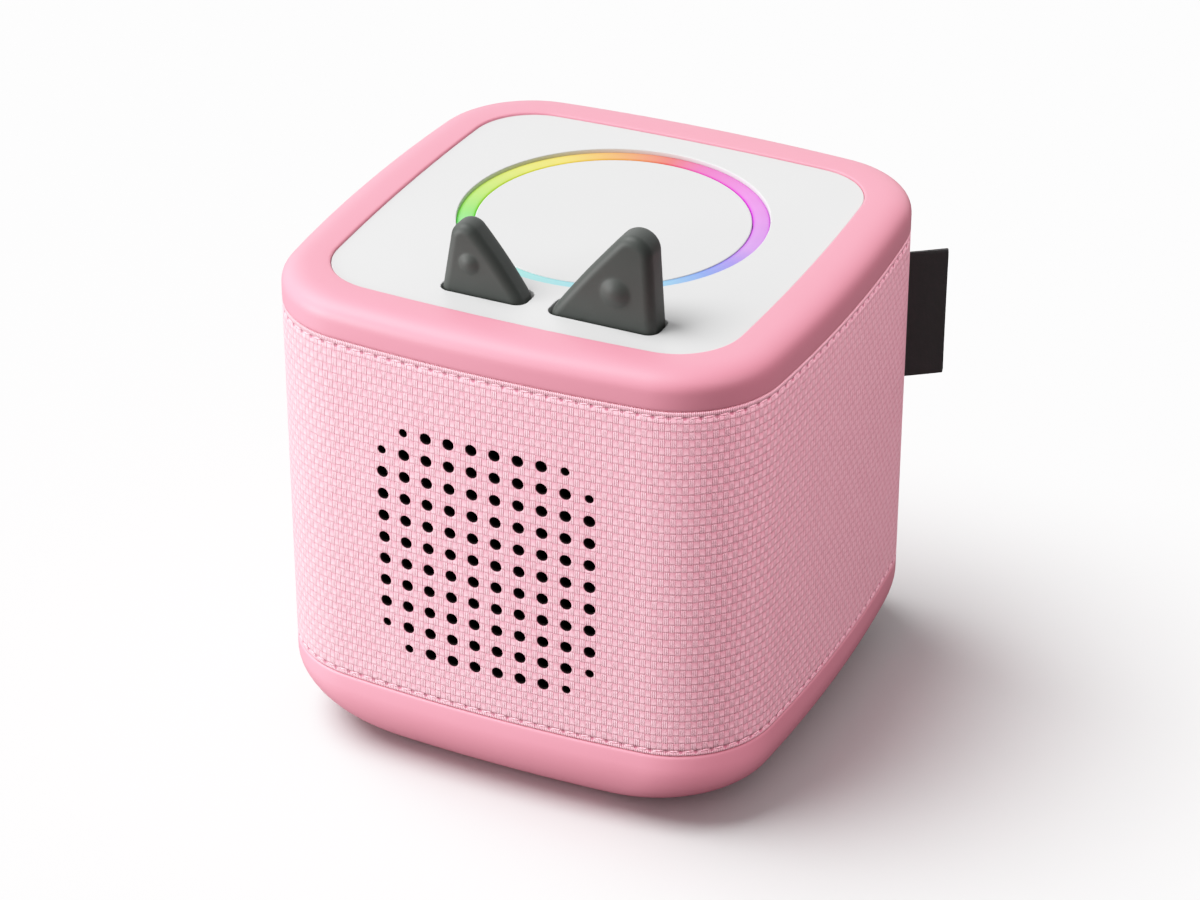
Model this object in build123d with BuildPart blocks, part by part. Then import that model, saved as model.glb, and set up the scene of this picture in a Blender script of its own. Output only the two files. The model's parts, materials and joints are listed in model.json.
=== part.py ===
"""Audio story player: a padded cube with a fabric cover, a docking plate and two ear levers.

Frame: origin at the centre of the underside, +Z up, speaker side towards -Y, ports towards +Y.
Millimetres throughout.
"""

import math
import os

from build123d import *

os.makedirs("parts", exist_ok=True)

# ---------------------------------------------------------------- driving dimensions
# The cube's plan is a square with slightly bowed sides.
half_width = 60.0
side_bow = 406.0
corner_radius = 23.8

rim_top = 115.3
rim_seam = 108.0
base_seam = 21.0

# Rounding of the rim's shoulder and of the base, as superellipses.
rim_round_width = 7.2
rim_round_height = 4.7
rim_round_power = 2.55
rim_top_corner = 17.2
base_round_width = 15.1
base_round_height = 17.6
base_round_power = 1.73
base_bottom_corner = 29.9
round_steps = 6

# Skins, from outside to inside.
skin_gap = 0.1
fabric_thick = 1.2
hem_thick = 0.6
hem_tuck = 1.5
foam_half = half_width - fabric_thick - skin_gap
core_half = 54.0
core_wall = 2.4
core_floor = 8.0
core_top = 111.2

# Perforations in front of the loudspeaker.
hole_pitch = 5.5
hole_radius = 1.25
small_hole_radius = 0.95
hole_sides = 8
hole_columns = 10
hole_rows = 11
grille_height = 61.0

# White top plate and its round dock.
plate_half = 49.0
plate_bow = 594.0
plate_corner = 15.0
plate_top = 114.8
plate_thick = 2.2
flange_half = 52.5
dock_y = 6.0
dock_radius = 35.0
ring_inner = 31.0
dock_floor = 113.9
ring_flange_outer = 37.0
ring_flange_inner = 28.5
ring_flange_bottom = 111.1
disc_bottom = 112.1

# Ear levers: each is a rounded fin on a rocking lever. Both turn about one line along X.
ear_y = -37.3
pivot_height = 108.8
ear_bottom = 111.6
slot_gap = 0.6
pin_radius = 1.0
pin_clearance = 0.05
barrel_radius = 2.3
press_height = 105.2
shoulder_height = 114.6
shoulder_radius = 8.0
ear_edge_radius = 2.8

# Inner chassis.
deck_bottom = 100.0
deck_thick = 2.4
deck_top = deck_bottom + deck_thick
column_spot = 41.5
column_radius = 5.0
ledge_half = 49.8
ledge_bottom = 97.0
base_screw_spot = 28.0
screw_radius = 1.25
screw_head_radius = 2.5
screw_hole_radius = 1.4

# Loudspeaker, looking out of the front.
speaker_height = 61.0
speaker_face = -49.6
speaker_radius = 32.0
speaker_opening = 26.0
cone_clearance = 0.3

# Ports in the lower back.
port_height = 34.8
jack_x = -11.0
jack_bore_radius = 1.75
jack_bore_length = 14.0
jack_mouth = 59.4
usb_x = 10.0
usb_width = 8.94
usb_height = 3.26
usb_mouth = 57.9
bezel_width = 40.0
bezel_height = 13.0
bezel_face = 59.9

# Folded side label at the back right corner.
label_height = 32.1
label_middle = 81.7
label_reach = 10.3
label_root = 1.2
label_thick = 0.8
label_angle = 36.0
label_x = 53.9
label_y = 48.6


# ---------------------------------------------------------------- shared shapes
class BowedSquare(BaseSketchObject):
    """A square of four bowed sides and four corner arcs, tangent where they meet."""

    def __init__(self, half, corner, bow, mode=Mode.ADD):
        reach = bow - half
        span = bow - corner
        corner_middle = (math.sqrt(2 * span**2 - reach**2) - reach) / 2
        corner_tip = corner_middle + corner * math.sqrt(0.5)
        meet = Vector(-reach, 0) + Vector(corner_middle + reach, corner_middle) * (bow / span)
        with BuildSketch() as plan:
            with BuildLine():
                for turn in range(0, 360, 90):
                    start = Vector(meet.X, -meet.Y).rotate(Axis.Z, turn)
                    middle = Vector(half, 0).rotate(Axis.Z, turn)
                    end = Vector(meet.X, meet.Y).rotate(Axis.Z, turn)
                    tip = Vector(corner_tip, corner_tip).rotate(Axis.Z, turn)
                    next_start = Vector(meet.Y, meet.X).rotate(Axis.Z, turn)
                    ThreePointArc(start, middle, end)
                    ThreePointArc(end, tip, next_start)
            make_face()
        super().__init__(obj=plan.sketch, mode=mode)


def cube_plan(half, mode=Mode.ADD):
    """Draw the cube's plan, moved in or out evenly to the given half width."""
    inset = half_width - half
    return BowedSquare(half, corner_radius - inset, side_bow - inset, mode)


def plate_plan(half, mode=Mode.ADD):
    """Draw the top plate's plan, moved in or out evenly to the given half width."""
    inset = plate_half - half
    return BowedSquare(half, plate_corner - inset, plate_bow - inset, mode)


def rounding(width, height, power):
    """List (inset, drop) pairs along a superellipse quarter, from its side to its top."""
    pairs = []
    for step in range(round_steps + 1):
        angle = math.pi / 2 * step / round_steps
        inset = width * (1 - abs(math.cos(angle)) ** (2 / power))
        drop = height * (1 - math.sin(angle) ** (2 / power))
        if step == round_steps:
            inset = width
        pairs.append((inset, drop))
    return pairs


def finish(piece, name):
    """Label a finished piece and write it."""
    piece.part.label = name
    export_step(piece.part, f"parts/{name}.step")


def upright(y):
    """A sketch plane facing the front, whose local X is the part's X and local Y its Z."""
    return Plane(origin=(0, y, 0), x_dir=(1, 0, 0), z_dir=(0, -1, 0))


def sideways(x):
    """A sketch plane facing +X, whose local X is the part's Y and local Y its Z."""
    return Plane(origin=(x, 0, 0), x_dir=(0, 1, 0), z_dir=(1, 0, 0))


# ---------------------------------------------------------------- soft base
bottom_opening = 40.0
bottom_opening_corner = 22.0
base_skin = 2.5
pocket_floor_half = 45.0
pocket_floor_corner = 24.0

with BuildPart() as base_bumper:
    for inset, drop in reversed(rounding(base_round_width, base_round_height, base_round_power)):
        grown = (base_bottom_corner - corner_radius) * inset / base_round_width
        with BuildSketch(Plane.XY.offset(drop)):
            BowedSquare(half_width - inset, corner_radius + grown, side_bow)
    loft(ruled=True)
    with BuildSketch(Plane.XY.offset(base_round_height)):
        cube_plan(half_width)
    extrude(amount=base_seam - base_round_height)
    # The pocket that the core housing stands in, funnelled towards the floor.
    with BuildSketch(Plane.XY.offset(core_floor)):
        cube_plan(core_half + skin_gap)
    extrude(amount=base_seam - core_floor, mode=Mode.SUBTRACT)
    with BuildSketch(Plane.XY.offset(base_skin)):
        BowedSquare(pocket_floor_half, pocket_floor_corner, side_bow)
    with BuildSketch(Plane.XY.offset(core_floor)):
        cube_plan(core_half + skin_gap)
    loft(ruled=True, mode=Mode.SUBTRACT)
    with BuildSketch(Plane.XY):
        BowedSquare(bottom_opening, bottom_opening_corner, side_bow)
    extrude(amount=base_skin, mode=Mode.SUBTRACT)
    # The groove that the fabric's hem is tucked into.
    with BuildSketch(Plane.XY.offset(base_seam - hem_tuck - skin_gap)):
        cube_plan(half_width - fabric_thick + hem_thick + skin_gap)
        cube_plan(half_width - fabric_thick - skin_gap, Mode.SUBTRACT)
    extrude(amount=hem_tuck + skin_gap, mode=Mode.SUBTRACT)
finish(base_bumper, "base_bumper")

# Bottom plate: flush with the soft base, its flange clamping the base against the core.
plate_gap = 0.3
bottom_flange_half = 43.5
bottom_flange_thick = 2.0
recess_depth = 1.8
recess_radius = 2.8
boss_outer = 4.0

with BuildPart() as bottom_plate:
    with BuildSketch(Plane.XY):
        BowedSquare(bottom_opening - plate_gap, bottom_opening_corner - plate_gap, side_bow)
    extrude(amount=base_skin)
    with BuildSketch(Plane.XY.offset(base_skin)):
        BowedSquare(bottom_flange_half, bottom_opening_corner, side_bow)
    extrude(amount=bottom_flange_thick)
    with BuildSketch(Plane.XY.offset(base_skin + bottom_flange_thick)):
        with GridLocations(2 * base_screw_spot, 2 * base_screw_spot, 2, 2):
            Circle(boss_outer)
    extrude(amount=core_floor - base_skin - bottom_flange_thick)
    with Locations(Location((0, 0, 0), (180, 0, 0))):
        with GridLocations(2 * base_screw_spot, 2 * base_screw_spot, 2, 2):
            CounterBoreHole(screw_hole_radius, recess_radius, recess_depth, core_floor)
finish(bottom_plate, "bottom_plate")

# ---------------------------------------------------------------- screws
screw_head_height = 1.5
drive_radius = 1.3
drive_depth = 0.9
base_screw_length = core_floor + core_wall + 1.5
deck_screw_length = 10.0
bracket_screw_length = 4.0
speaker_screw_bite = 2.0
board_screw_bite = 5.0


def screw(length):
    """Make a screw whose head stands on the XY plane and whose shank points down."""
    with BuildPart() as one_screw:
        with BuildSketch():
            Circle(screw_head_radius)
        extrude(amount=screw_head_height)
        with BuildSketch():
            Circle(screw_radius)
        extrude(amount=-length)
        with BuildSketch(Plane.XY.offset(screw_head_height)):
            RegularPolygon(drive_radius, 6)
        extrude(amount=-drive_depth, mode=Mode.SUBTRACT)
    return one_screw.part


def square_spots(spread, middle=0.0):
    """List the four corners of a square, on a plane whose second axis is moved by middle."""
    return [(x, middle + y) for x in (-spread, spread) for y in (-spread, spread)]


with BuildPart() as bottom_screws:
    corners = square_spots(base_screw_spot)
    with Locations(*[Location((x, y, recess_depth), (180, 0, 0)) for x, y in corners]):
        add(screw(base_screw_length))
finish(bottom_screws, "bottom_screws")

# ---------------------------------------------------------------- fabric and padding
grille_window_width = 56.0
grille_window_height = 62.0
grille_window_corner = 4.0
cut_past = 6.0


def grille_holes():
    """Draw the grille: rows and columns of holes without the corner ones, small beside them.

    The holes are eight-sided, which keeps a sheet with over a hundred of them light.
    """
    last_row = hole_rows - 1
    last_column = hole_columns - 1
    for row in range(hole_rows):
        for column in range(hole_columns):
            steps_from_corner = min(column, last_column - column) + min(row, last_row - row)
            if steps_from_corner == 0:
                continue
            x = (column - last_column / 2) * hole_pitch
            z = grille_height + (last_row / 2 - row) * hole_pitch
            radius = small_hole_radius if steps_from_corner == 1 else hole_radius
            with Locations((x, z)):
                RegularPolygon(radius, hole_sides)


# The oblong opening that the port bezel needs in the soft skins.
bezel_gap = 0.15

with BuildPart() as port_window:
    with BuildSketch(upright(half_width / 2)):
        with Locations((0, port_height)):
            SlotOverall(bezel_width + 2 * bezel_gap, bezel_height + 2 * bezel_gap)
    extrude(amount=-half_width / 2 - cut_past)

with BuildPart() as fabric_cover:
    with BuildSketch(Plane.XY.offset(base_seam)):
        cube_plan(half_width)
    extrude(amount=rim_seam - base_seam)
    hem_bottom = Plane.XY.offset(base_seam - hem_tuck)
    hem_span = rim_seam - base_seam + 2 * hem_tuck
    with BuildSketch(hem_bottom):
        cube_plan(half_width - fabric_thick + hem_thick)
    extrude(amount=hem_span)
    with BuildSketch(hem_bottom):
        cube_plan(half_width - fabric_thick)
    extrude(amount=hem_span, mode=Mode.SUBTRACT)
    with BuildSketch(upright(-half_width / 2)):
        grille_holes()
    extrude(amount=half_width / 2 + cut_past, mode=Mode.SUBTRACT)
    add(port_window.part, mode=Mode.SUBTRACT)
    # The slit in the back right corner seam that holds the label's root.
    with BuildSketch(Plane.XY.offset(label_middle - label_height / 2 - skin_gap)):
        with Locations((label_x, label_y)):
            Rectangle(2 * cut_past, label_thick + skin_gap, rotation=label_angle)
    extrude(amount=label_height + 2 * skin_gap, mode=Mode.SUBTRACT)
finish(fabric_cover, "fabric_cover")

with BuildPart() as side_label:
    label_bottom = Plane.XY.offset(label_middle - label_height / 2)
    label_frame = label_bottom * Pos(label_x, label_y, 0) * Rot(0, 0, label_angle)
    with BuildSketch(label_frame):
        with Locations((-label_root, 0)):
            straight = label_root + label_reach - label_thick / 2
            Rectangle(straight, label_thick, align=(Align.MIN, Align.CENTER))
        with Locations((label_reach - label_thick / 2, 0)):
            Circle(label_thick / 2)
    extrude(amount=label_height)
finish(side_label, "side_label")

with BuildPart() as foam_sleeve:
    with BuildSketch(Plane.XY.offset(base_seam + skin_gap)):
        cube_plan(foam_half)
    extrude(amount=rim_seam - base_seam - 2 * skin_gap)
    with BuildSketch(Plane.XY.offset(base_seam)):
        cube_plan(core_half + skin_gap)
    extrude(amount=rim_seam - base_seam, mode=Mode.SUBTRACT)
    with BuildSketch(upright(-half_width / 2)):
        with Locations((0, grille_height)):
            RectangleRounded(grille_window_width, grille_window_height, grille_window_corner)
    extrude(amount=half_width / 2 + cut_past, mode=Mode.SUBTRACT)
    add(port_window.part, mode=Mode.SUBTRACT)
finish(foam_sleeve, "foam_sleeve")

# Stiff backing behind the perforated fabric, one long slot behind each column of holes, and
# the black dust cloth glued to its back.
backing_thick = 2.0
cloth_thick = 0.4
window_fit = 0.2


def front_skin(outer, thick):
    """Make a bowed sheet that fills the padding's front window."""
    with BuildPart() as skin:
        with BuildSketch(Plane.XY.offset(grille_height - grille_window_height / 2)):
            cube_plan(outer)
            cube_plan(outer - thick, Mode.SUBTRACT)
        extrude(amount=grille_window_height)
        with BuildSketch(upright(-half_width / 2)):
            with Locations((0, grille_height)):
                RectangleRounded(
                    grille_window_width - 2 * window_fit,
                    grille_window_height - 2 * window_fit,
                    grille_window_corner - window_fit,
                )
        extrude(amount=half_width, mode=Mode.INTERSECT)
    return skin.part


backing_slot_length = hole_rows * hole_pitch - 2.0
backing_slot_width = 3.2

with BuildPart() as grille_backing:
    add(front_skin(foam_half, backing_thick))
    with BuildSketch(upright(-half_width / 2)):
        with Locations((0, grille_height)):
            with GridLocations(hole_pitch, 0, hole_columns, 1):
                SlotOverall(backing_slot_length, backing_slot_width, rotation=90)
    extrude(amount=half_width, mode=Mode.SUBTRACT)
finish(grille_backing, "grille_backing")

with BuildPart() as dust_cloth:
    add(front_skin(foam_half - backing_thick, cloth_thick))
finish(dust_cloth, "dust_cloth")

# ---------------------------------------------------------------- core housing
port_opening_width = 37.0
port_opening_height = 9.5
board_y = 40.0
board_thick = 1.6
board_posts = [(x, z) for x in (-28.0, 28.0) for z in (48.0, 90.0)]
board_post_radius = 2.5
pilot_depth = 6.0
boss_radius = 3.5
boss_rise = 8.0
port_rib_x = 18.5
port_rib_width = 3.0
port_rib_height = 6.0
port_board_bottom = 30.0
port_board_front = 36.0
port_board_back = 51.0
port_board_middle = (port_board_front + port_board_back) / 2
speaker_screw_spot = 20.6
seat_sink = 3.0

with BuildPart() as core_housing:
    with BuildSketch(Plane.XY.offset(core_floor)):
        cube_plan(core_half)
    extrude(amount=core_top - core_floor)
    for bottom, top, half in (
        (core_floor + core_wall, ledge_bottom, core_half - core_wall),
        (ledge_bottom, deck_bottom, ledge_half),
        (deck_bottom, core_top, core_half - core_wall),
    ):
        with BuildSketch(Plane.XY.offset(bottom)):
            cube_plan(half)
        extrude(amount=top - bottom, mode=Mode.SUBTRACT)
    # Corner columns that carry the deck, and bosses for the bottom screws.
    with BuildSketch(Plane.XY.offset(core_floor + core_wall / 2)):
        with Locations(*square_spots(column_spot)):
            Circle(column_radius)
    extrude(amount=deck_bottom - core_floor - core_wall / 2)
    with BuildSketch(Plane.XY.offset(core_floor + core_wall / 2)):
        with Locations(*square_spots(base_screw_spot)):
            Circle(boss_radius)
    extrude(amount=boss_rise)
    # Ring seat that the loudspeaker is screwed against.
    with BuildSketch(upright(speaker_face)):
        with Locations((0, speaker_height)):
            Circle(speaker_radius)
    extrude(amount=seat_sink)
    # Posts for the upright main board and ribs for the port board.
    with BuildSketch(upright(board_y + board_thick)):
        with Locations(*board_posts):
            Circle(board_post_radius)
    extrude(amount=board_y + board_thick + core_wall / 2 - core_half)
    with BuildSketch(Plane.XY.offset(port_board_bottom - port_rib_height)):
        with Locations((-port_rib_x, port_board_front), (port_rib_x, port_board_front)):
            rib_length = core_half - core_wall / 2 - port_board_front
            Rectangle(port_rib_width, rib_length, align=(Align.CENTER, Align.MIN))
    extrude(amount=port_rib_height)
    # Openings and screw pilots.
    with BuildSketch(upright(speaker_face)):
        with Locations((0, speaker_height)):
            Circle(speaker_opening)
    extrude(amount=half_width, mode=Mode.SUBTRACT)
    with BuildSketch(upright(board_y + board_thick)):
        with Locations((0, port_height)):
            SlotOverall(port_opening_width, port_opening_height)
    extrude(amount=-half_width, mode=Mode.SUBTRACT)
    with BuildSketch(upright(speaker_face)):
        with Locations(*square_spots(speaker_screw_spot, speaker_height)):
            Circle(screw_radius)
    extrude(amount=seat_sink, mode=Mode.SUBTRACT)
    with BuildSketch(upright(board_y + board_thick)):
        with Locations(*board_posts):
            Circle(screw_radius)
    extrude(amount=-pilot_depth, mode=Mode.SUBTRACT)
    with BuildSketch(Plane.XY.offset(deck_bottom)):
        with Locations(*square_spots(column_spot)):
            Circle(screw_radius)
    extrude(amount=-deck_screw_length, mode=Mode.SUBTRACT)
    with BuildSketch(Plane.XY.offset(core_floor)):
        with Locations(*square_spots(base_screw_spot)):
            Circle(screw_radius)
    extrude(amount=core_wall + pilot_depth, mode=Mode.SUBTRACT)
finish(core_housing, "core_housing")

# ---------------------------------------------------------------- rim and top plate
with BuildPart() as top_rim:
    with BuildSketch(Plane.XY.offset(rim_seam)):
        cube_plan(half_width)
    extrude(amount=rim_top - rim_round_height - rim_seam)
    for inset, drop in rounding(rim_round_width, rim_round_height, rim_round_power):
        tightened = (corner_radius - rim_top_corner) * inset / rim_round_width
        with BuildSketch(Plane.XY.offset(rim_top - drop)):
            BowedSquare(half_width - inset, corner_radius - tightened, side_bow)
    loft(ruled=True)
    # Stepped opening: the core's wall below, the plate's flange above it, the plate on top.
    with BuildSketch(Plane.XY.offset(rim_seam)):
        cube_plan(core_half + skin_gap)
    extrude(amount=core_top + skin_gap - rim_seam, mode=Mode.SUBTRACT)
    with BuildSketch(Plane.XY.offset(core_top)):
        plate_plan(flange_half + skin_gap)
    extrude(amount=plate_top - plate_thick + skin_gap - core_top, mode=Mode.SUBTRACT)
    with BuildSketch(Plane.XY.offset(core_top)):
        plate_plan(plate_half + skin_gap)
    extrude(amount=rim_top - core_top, mode=Mode.SUBTRACT)
    # The groove that the fabric's upper hem is tucked into.
    with BuildSketch(Plane.XY.offset(rim_seam)):
        cube_plan(half_width - fabric_thick + hem_thick + skin_gap)
        cube_plan(half_width - fabric_thick - skin_gap, Mode.SUBTRACT)
    extrude(amount=hem_tuck + skin_gap, mode=Mode.SUBTRACT)
finish(top_rim, "top_rim")


class Ear:
    """One ear lever, seen from the front: a leaning fin on an oblong foot.

    One side of the fin stands nearly upright and the other slopes through a shallow arc.
    """

    def __init__(self, name, sides, peak, slope_middle, tip_radius, thick, dome, blade):
        self.name = name
        self.upright_side, self.sloping_side = sides
        self.peak = peak
        self.slope_middle = slope_middle
        self.tip_radius = tip_radius
        self.thick = thick
        self.dome_x, self.dome_height, self.dome_radius = dome
        self.blade = blade
        self.length = abs(self.sloping_side - self.upright_side)
        self.middle = (self.upright_side + self.sloping_side) / 2


# The peak is where both sides would meet if the tip weren't rounded.
small_ear = Ear(
    name="small",
    sides=(-19.4, 0.1),
    peak=(-15.9, 134.8),
    slope_middle=(-7.3, 125.1),
    tip_radius=3.5,
    thick=6.8,
    dome=(-12.3, 122.0, 2.4),
    blade=[(-16.0, 112.0), (-15.4, 124.0), (-13.6, 126.0), (-11.6, 124.0), (-4.4, 114.4), (-4.4, 112.0)],
)
large_ear = Ear(
    name="large",
    sides=(31.2, 6.4),
    peak=(29.4, 142.6),
    slope_middle=(17.4, 129.1),
    tip_radius=4.5,
    thick=7.6,
    dome=(22.3, 122.8, 3.4),
    blade=[(11.5, 112.0), (11.5, 114.8), (22.6, 129.4), (25.2, 131.4), (27.4, 129.4), (28.0, 112.0)],
)
ears = (small_ear, large_ear)

flange_overlap = 3.0
tab_drop = 6.0
tab_thick = 1.4
tab_width = 16.0

with BuildPart() as top_plate:
    with BuildSketch(Plane.XY.offset(plate_top - plate_thick)):
        plate_plan(plate_half)
    extrude(amount=plate_thick)
    with BuildSketch(Plane.XY.offset(core_top)):
        plate_plan(flange_half)
        plate_plan(plate_half - flange_overlap, Mode.SUBTRACT)
    extrude(amount=plate_top - plate_thick - core_top)
    # Snap tabs that press against the inside of the core's wall.
    with BuildSketch(Plane.XY.offset(core_top - tab_drop)):
        with PolarLocations(core_half - core_wall - skin_gap - tab_thick / 2, 4):
            Rectangle(tab_thick, tab_width)
    extrude(amount=tab_drop)
    # Round opening for the dock and a slot for each ear.
    with BuildSketch(Plane.XY.offset(core_top)):
        with Locations((0, dock_y)):
            Circle(dock_radius)
        for ear in ears:
            with Locations((ear.middle, ear_y)):
                RectangleRounded(
                    ear.length + 2 * slot_gap, ear.thick + 2 * slot_gap, ear_edge_radius + slot_gap
                )
    extrude(amount=rim_top - core_top, mode=Mode.SUBTRACT)
finish(top_plate, "top_plate")

# ---------------------------------------------------------------- dock: disc, light ring, reader
ring_gap = 0.05
led_board_bottom = 106.4
led_board_inner = 28.0
led_board_outer = 36.5
led_circle = 33.0
led_count = 16
reader_outer = 26.0
reader_inner = 10.0
reader_thick = 1.0
coil_edge = 24.0
coil_width = 5.0
coil_thick = 0.3
magnet_radius = 6.0
cup_radius = 7.2
cup_bottom = 107.0
magnet_bottom = 108.1

with BuildPart() as dock_disc:
    with BuildSketch(Plane.XY.offset(disc_bottom)):
        with Locations((0, dock_y)):
            Circle(ring_inner)
    extrude(amount=dock_floor - disc_bottom)
finish(dock_disc, "dock_disc")

with BuildPart() as light_ring:
    with BuildSketch(upright(dock_y)):
        with BuildLine():
            Polyline(
                (ring_flange_inner, ring_flange_bottom),
                (ring_flange_outer, ring_flange_bottom),
                (ring_flange_outer, plate_top - plate_thick),
                (dock_radius - ring_gap, plate_top - plate_thick),
                (dock_radius - ring_gap, dock_floor),
                (ring_inner + ring_gap, dock_floor),
                (ring_inner + ring_gap, disc_bottom),
                (ring_flange_inner, disc_bottom),
                close=True,
            )
        make_face()
    revolve(axis=Axis((0, dock_y, 0), (0, 0, 1)))
finish(light_ring, "light_ring")

with BuildPart() as light_ring_board:
    with BuildSketch(Plane.XY.offset(led_board_bottom)):
        with Locations((0, dock_y)):
            Circle(led_board_outer)
            Circle(led_board_inner, mode=Mode.SUBTRACT)
    extrude(amount=board_thick)
finish(light_ring_board, "light_ring_board")

with BuildPart() as ring_leds:
    with BuildSketch(Plane.XY.offset(led_board_bottom + board_thick)):
        with Locations((0, dock_y)):
            with PolarLocations(led_circle, led_count):
                Rectangle(3.0, 2.8)
    extrude(amount=1.2)
finish(ring_leds, "ring_leds")

with BuildPart() as reader_board:
    with BuildSketch(Plane.XY.offset(disc_bottom - reader_thick)):
        with Locations((0, dock_y)):
            Circle(reader_outer)
            Circle(reader_inner, mode=Mode.SUBTRACT)
    extrude(amount=reader_thick)
finish(reader_board, "reader_board")

with BuildPart() as reader_coil:
    with BuildSketch(Plane.XY.offset(disc_bottom - reader_thick - coil_thick)):
        with Locations((0, dock_y)):
            Circle(coil_edge)
            Circle(coil_edge - coil_width, mode=Mode.SUBTRACT)
    extrude(amount=coil_thick)
finish(reader_coil, "reader_coil")

with BuildPart() as dock_magnet:
    with BuildSketch(Plane.XY.offset(magnet_bottom)):
        with Locations((0, dock_y)):
            Circle(magnet_radius)
    extrude(amount=disc_bottom - magnet_bottom)
finish(dock_magnet, "dock_magnet")

with BuildPart() as magnet_cup:
    with BuildSketch(Plane.XY.offset(cup_bottom)):
        with Locations((0, dock_y)):
            Circle(cup_radius)
    extrude(amount=disc_bottom - cup_bottom)
    with BuildSketch(Plane.XY.offset(magnet_bottom)):
        with Locations((0, dock_y)):
            Circle(magnet_radius + ring_gap)
    extrude(amount=disc_bottom - magnet_bottom, mode=Mode.SUBTRACT)
finish(magnet_cup, "magnet_cup")

# ---------------------------------------------------------------- deck
ribbon_x = 8.0
ribbon_y = 38.0
ribbon_width = 6.0
ribbon_thick = 0.4
ribbon_slot_width = 8.0
ribbon_slot_depth = 3.0
bracket_screw_spots = [(-22.0, -33.5), (35.0, -33.5)]

with BuildPart() as deck_frame:
    with BuildSketch(Plane.XY.offset(deck_bottom)):
        cube_plan(core_half - core_wall - skin_gap)
        with Locations(*square_spots(column_spot)):
            Circle(screw_hole_radius, mode=Mode.SUBTRACT)
        with Locations((ribbon_x, ribbon_y)):
            Rectangle(ribbon_slot_width, ribbon_slot_depth, mode=Mode.SUBTRACT)
        with Locations(*bracket_screw_spots):
            Circle(screw_radius, mode=Mode.SUBTRACT)
    extrude(amount=deck_thick)
    with BuildSketch(Plane.XY.offset(deck_top)):
        with Locations((0, dock_y)):
            Circle(cup_radius)
    extrude(amount=cup_bottom - deck_top)
    with BuildSketch(Plane.XY.offset(deck_top)):
        with Locations((0, dock_y)):
            with PolarLocations((led_board_inner + led_board_outer) / 2, 6, start_angle=30):
                Circle(1.8)
    extrude(amount=led_board_bottom - deck_top)
finish(deck_frame, "deck_frame")

with BuildPart() as deck_screws:
    with Locations(*[(x, y, deck_top) for x, y in square_spots(column_spot)]):
        add(screw(deck_screw_length))
finish(deck_screws, "deck_screws")

# ---------------------------------------------------------------- ear mechanism
bracket_front = -41.2
bracket_back = -31.5
bracket_middle = 6.5
bracket_length = 63.0
bracket_thick = 1.2
lug_thick = 2.0
lug_gap = 0.3
pin_past_lug = 0.4
barrel_half = 4.5
switch_size = 5.0
switch_depth = 3.5
switch_face = -41.5
plunger_radius = 1.3
plunger_tip = -38.65
plunger_inside = 1.1
plunger_clearance = 0.1
plunger_spare_travel = 0.6
blade_thick = 2.4
blade_gap = 0.03
switch_board_thick = 1.4
switch_board_x = 4.5
switch_board_width = 44.0
switch_board_height = 8.0
lever_tail_bottom = 104.3
lug_radius = 2.4
neck_top = 113.0


def lug_places():
    """List the X positions of the bracket's four lugs, one pair around each ear's barrel."""
    places = []
    for ear in ears:
        offset = barrel_half + lug_gap + lug_thick / 2
        places += [ear.middle - offset, ear.middle + offset]
    return places


with BuildPart() as ear_bracket:
    with BuildSketch(Plane.XY.offset(deck_top)):
        with Locations((bracket_middle, (bracket_front + bracket_back) / 2)):
            Rectangle(bracket_length, bracket_back - bracket_front)
        with Locations(*bracket_screw_spots):
            Circle(screw_hole_radius, mode=Mode.SUBTRACT)
    extrude(amount=bracket_thick)
    for x in lug_places():
        with BuildSketch(sideways(x - lug_thick / 2)):
            with Locations((ear_y, pivot_height)):
                Circle(lug_radius)
            with Locations((ear_y, deck_top)):
                Rectangle(2 * lug_radius, pivot_height - deck_top, align=(Align.CENTER, Align.MIN))
            with Locations((ear_y, pivot_height)):
                Circle(pin_radius, mode=Mode.SUBTRACT)
        extrude(amount=lug_thick)
finish(ear_bracket, "ear_bracket")

with BuildPart() as bracket_screws:
    with Locations(*[(x, y, deck_top + bracket_thick) for x, y in bracket_screw_spots]):
        add(screw(bracket_screw_length))
finish(bracket_screws, "bracket_screws")

with BuildPart() as switch_board:
    with BuildSketch(upright(switch_face - switch_depth)):
        with Locations((switch_board_x, deck_top + switch_board_height / 2)):
            Rectangle(switch_board_width, switch_board_height)
    extrude(amount=switch_board_thick)
finish(switch_board, "switch_board")

dome_share = 0.35
dome_sink = 0.1


def blade_slab(ear, grow):
    """Make the flat blade and neck inside an ear's skin, grown evenly by a clearance."""
    with BuildPart() as slab:
        with BuildSketch(upright(ear_y + blade_thick / 2 + grow)):
            with BuildLine():
                Polyline(*ear.blade, close=True)
            make_face()
            with Locations((ear.middle, (pivot_height + neck_top) / 2)):
                Rectangle(2 * barrel_half, neck_top - pivot_height)
            if grow:
                offset(amount=grow, kind=Kind.INTERSECTION)
        extrude(amount=blade_thick + 2 * grow)
    return slab.part


def press_dome(ear):
    """Make the shallow dome on an ear's front, a ball trimmed at the ear's middle."""
    depth = ear.dome_radius * dome_share
    ball = (ear.dome_radius**2 + depth**2) / (2 * depth)
    face = ear_y - ear.thick / 2 + dome_sink
    with BuildPart() as dome:
        with Locations((ear.dome_x, face + ball - depth, ear.dome_height)):
            Sphere(ball)
        split(bisect_by=upright(ear_y), keep=Keep.TOP)
    return dome.part


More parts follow.
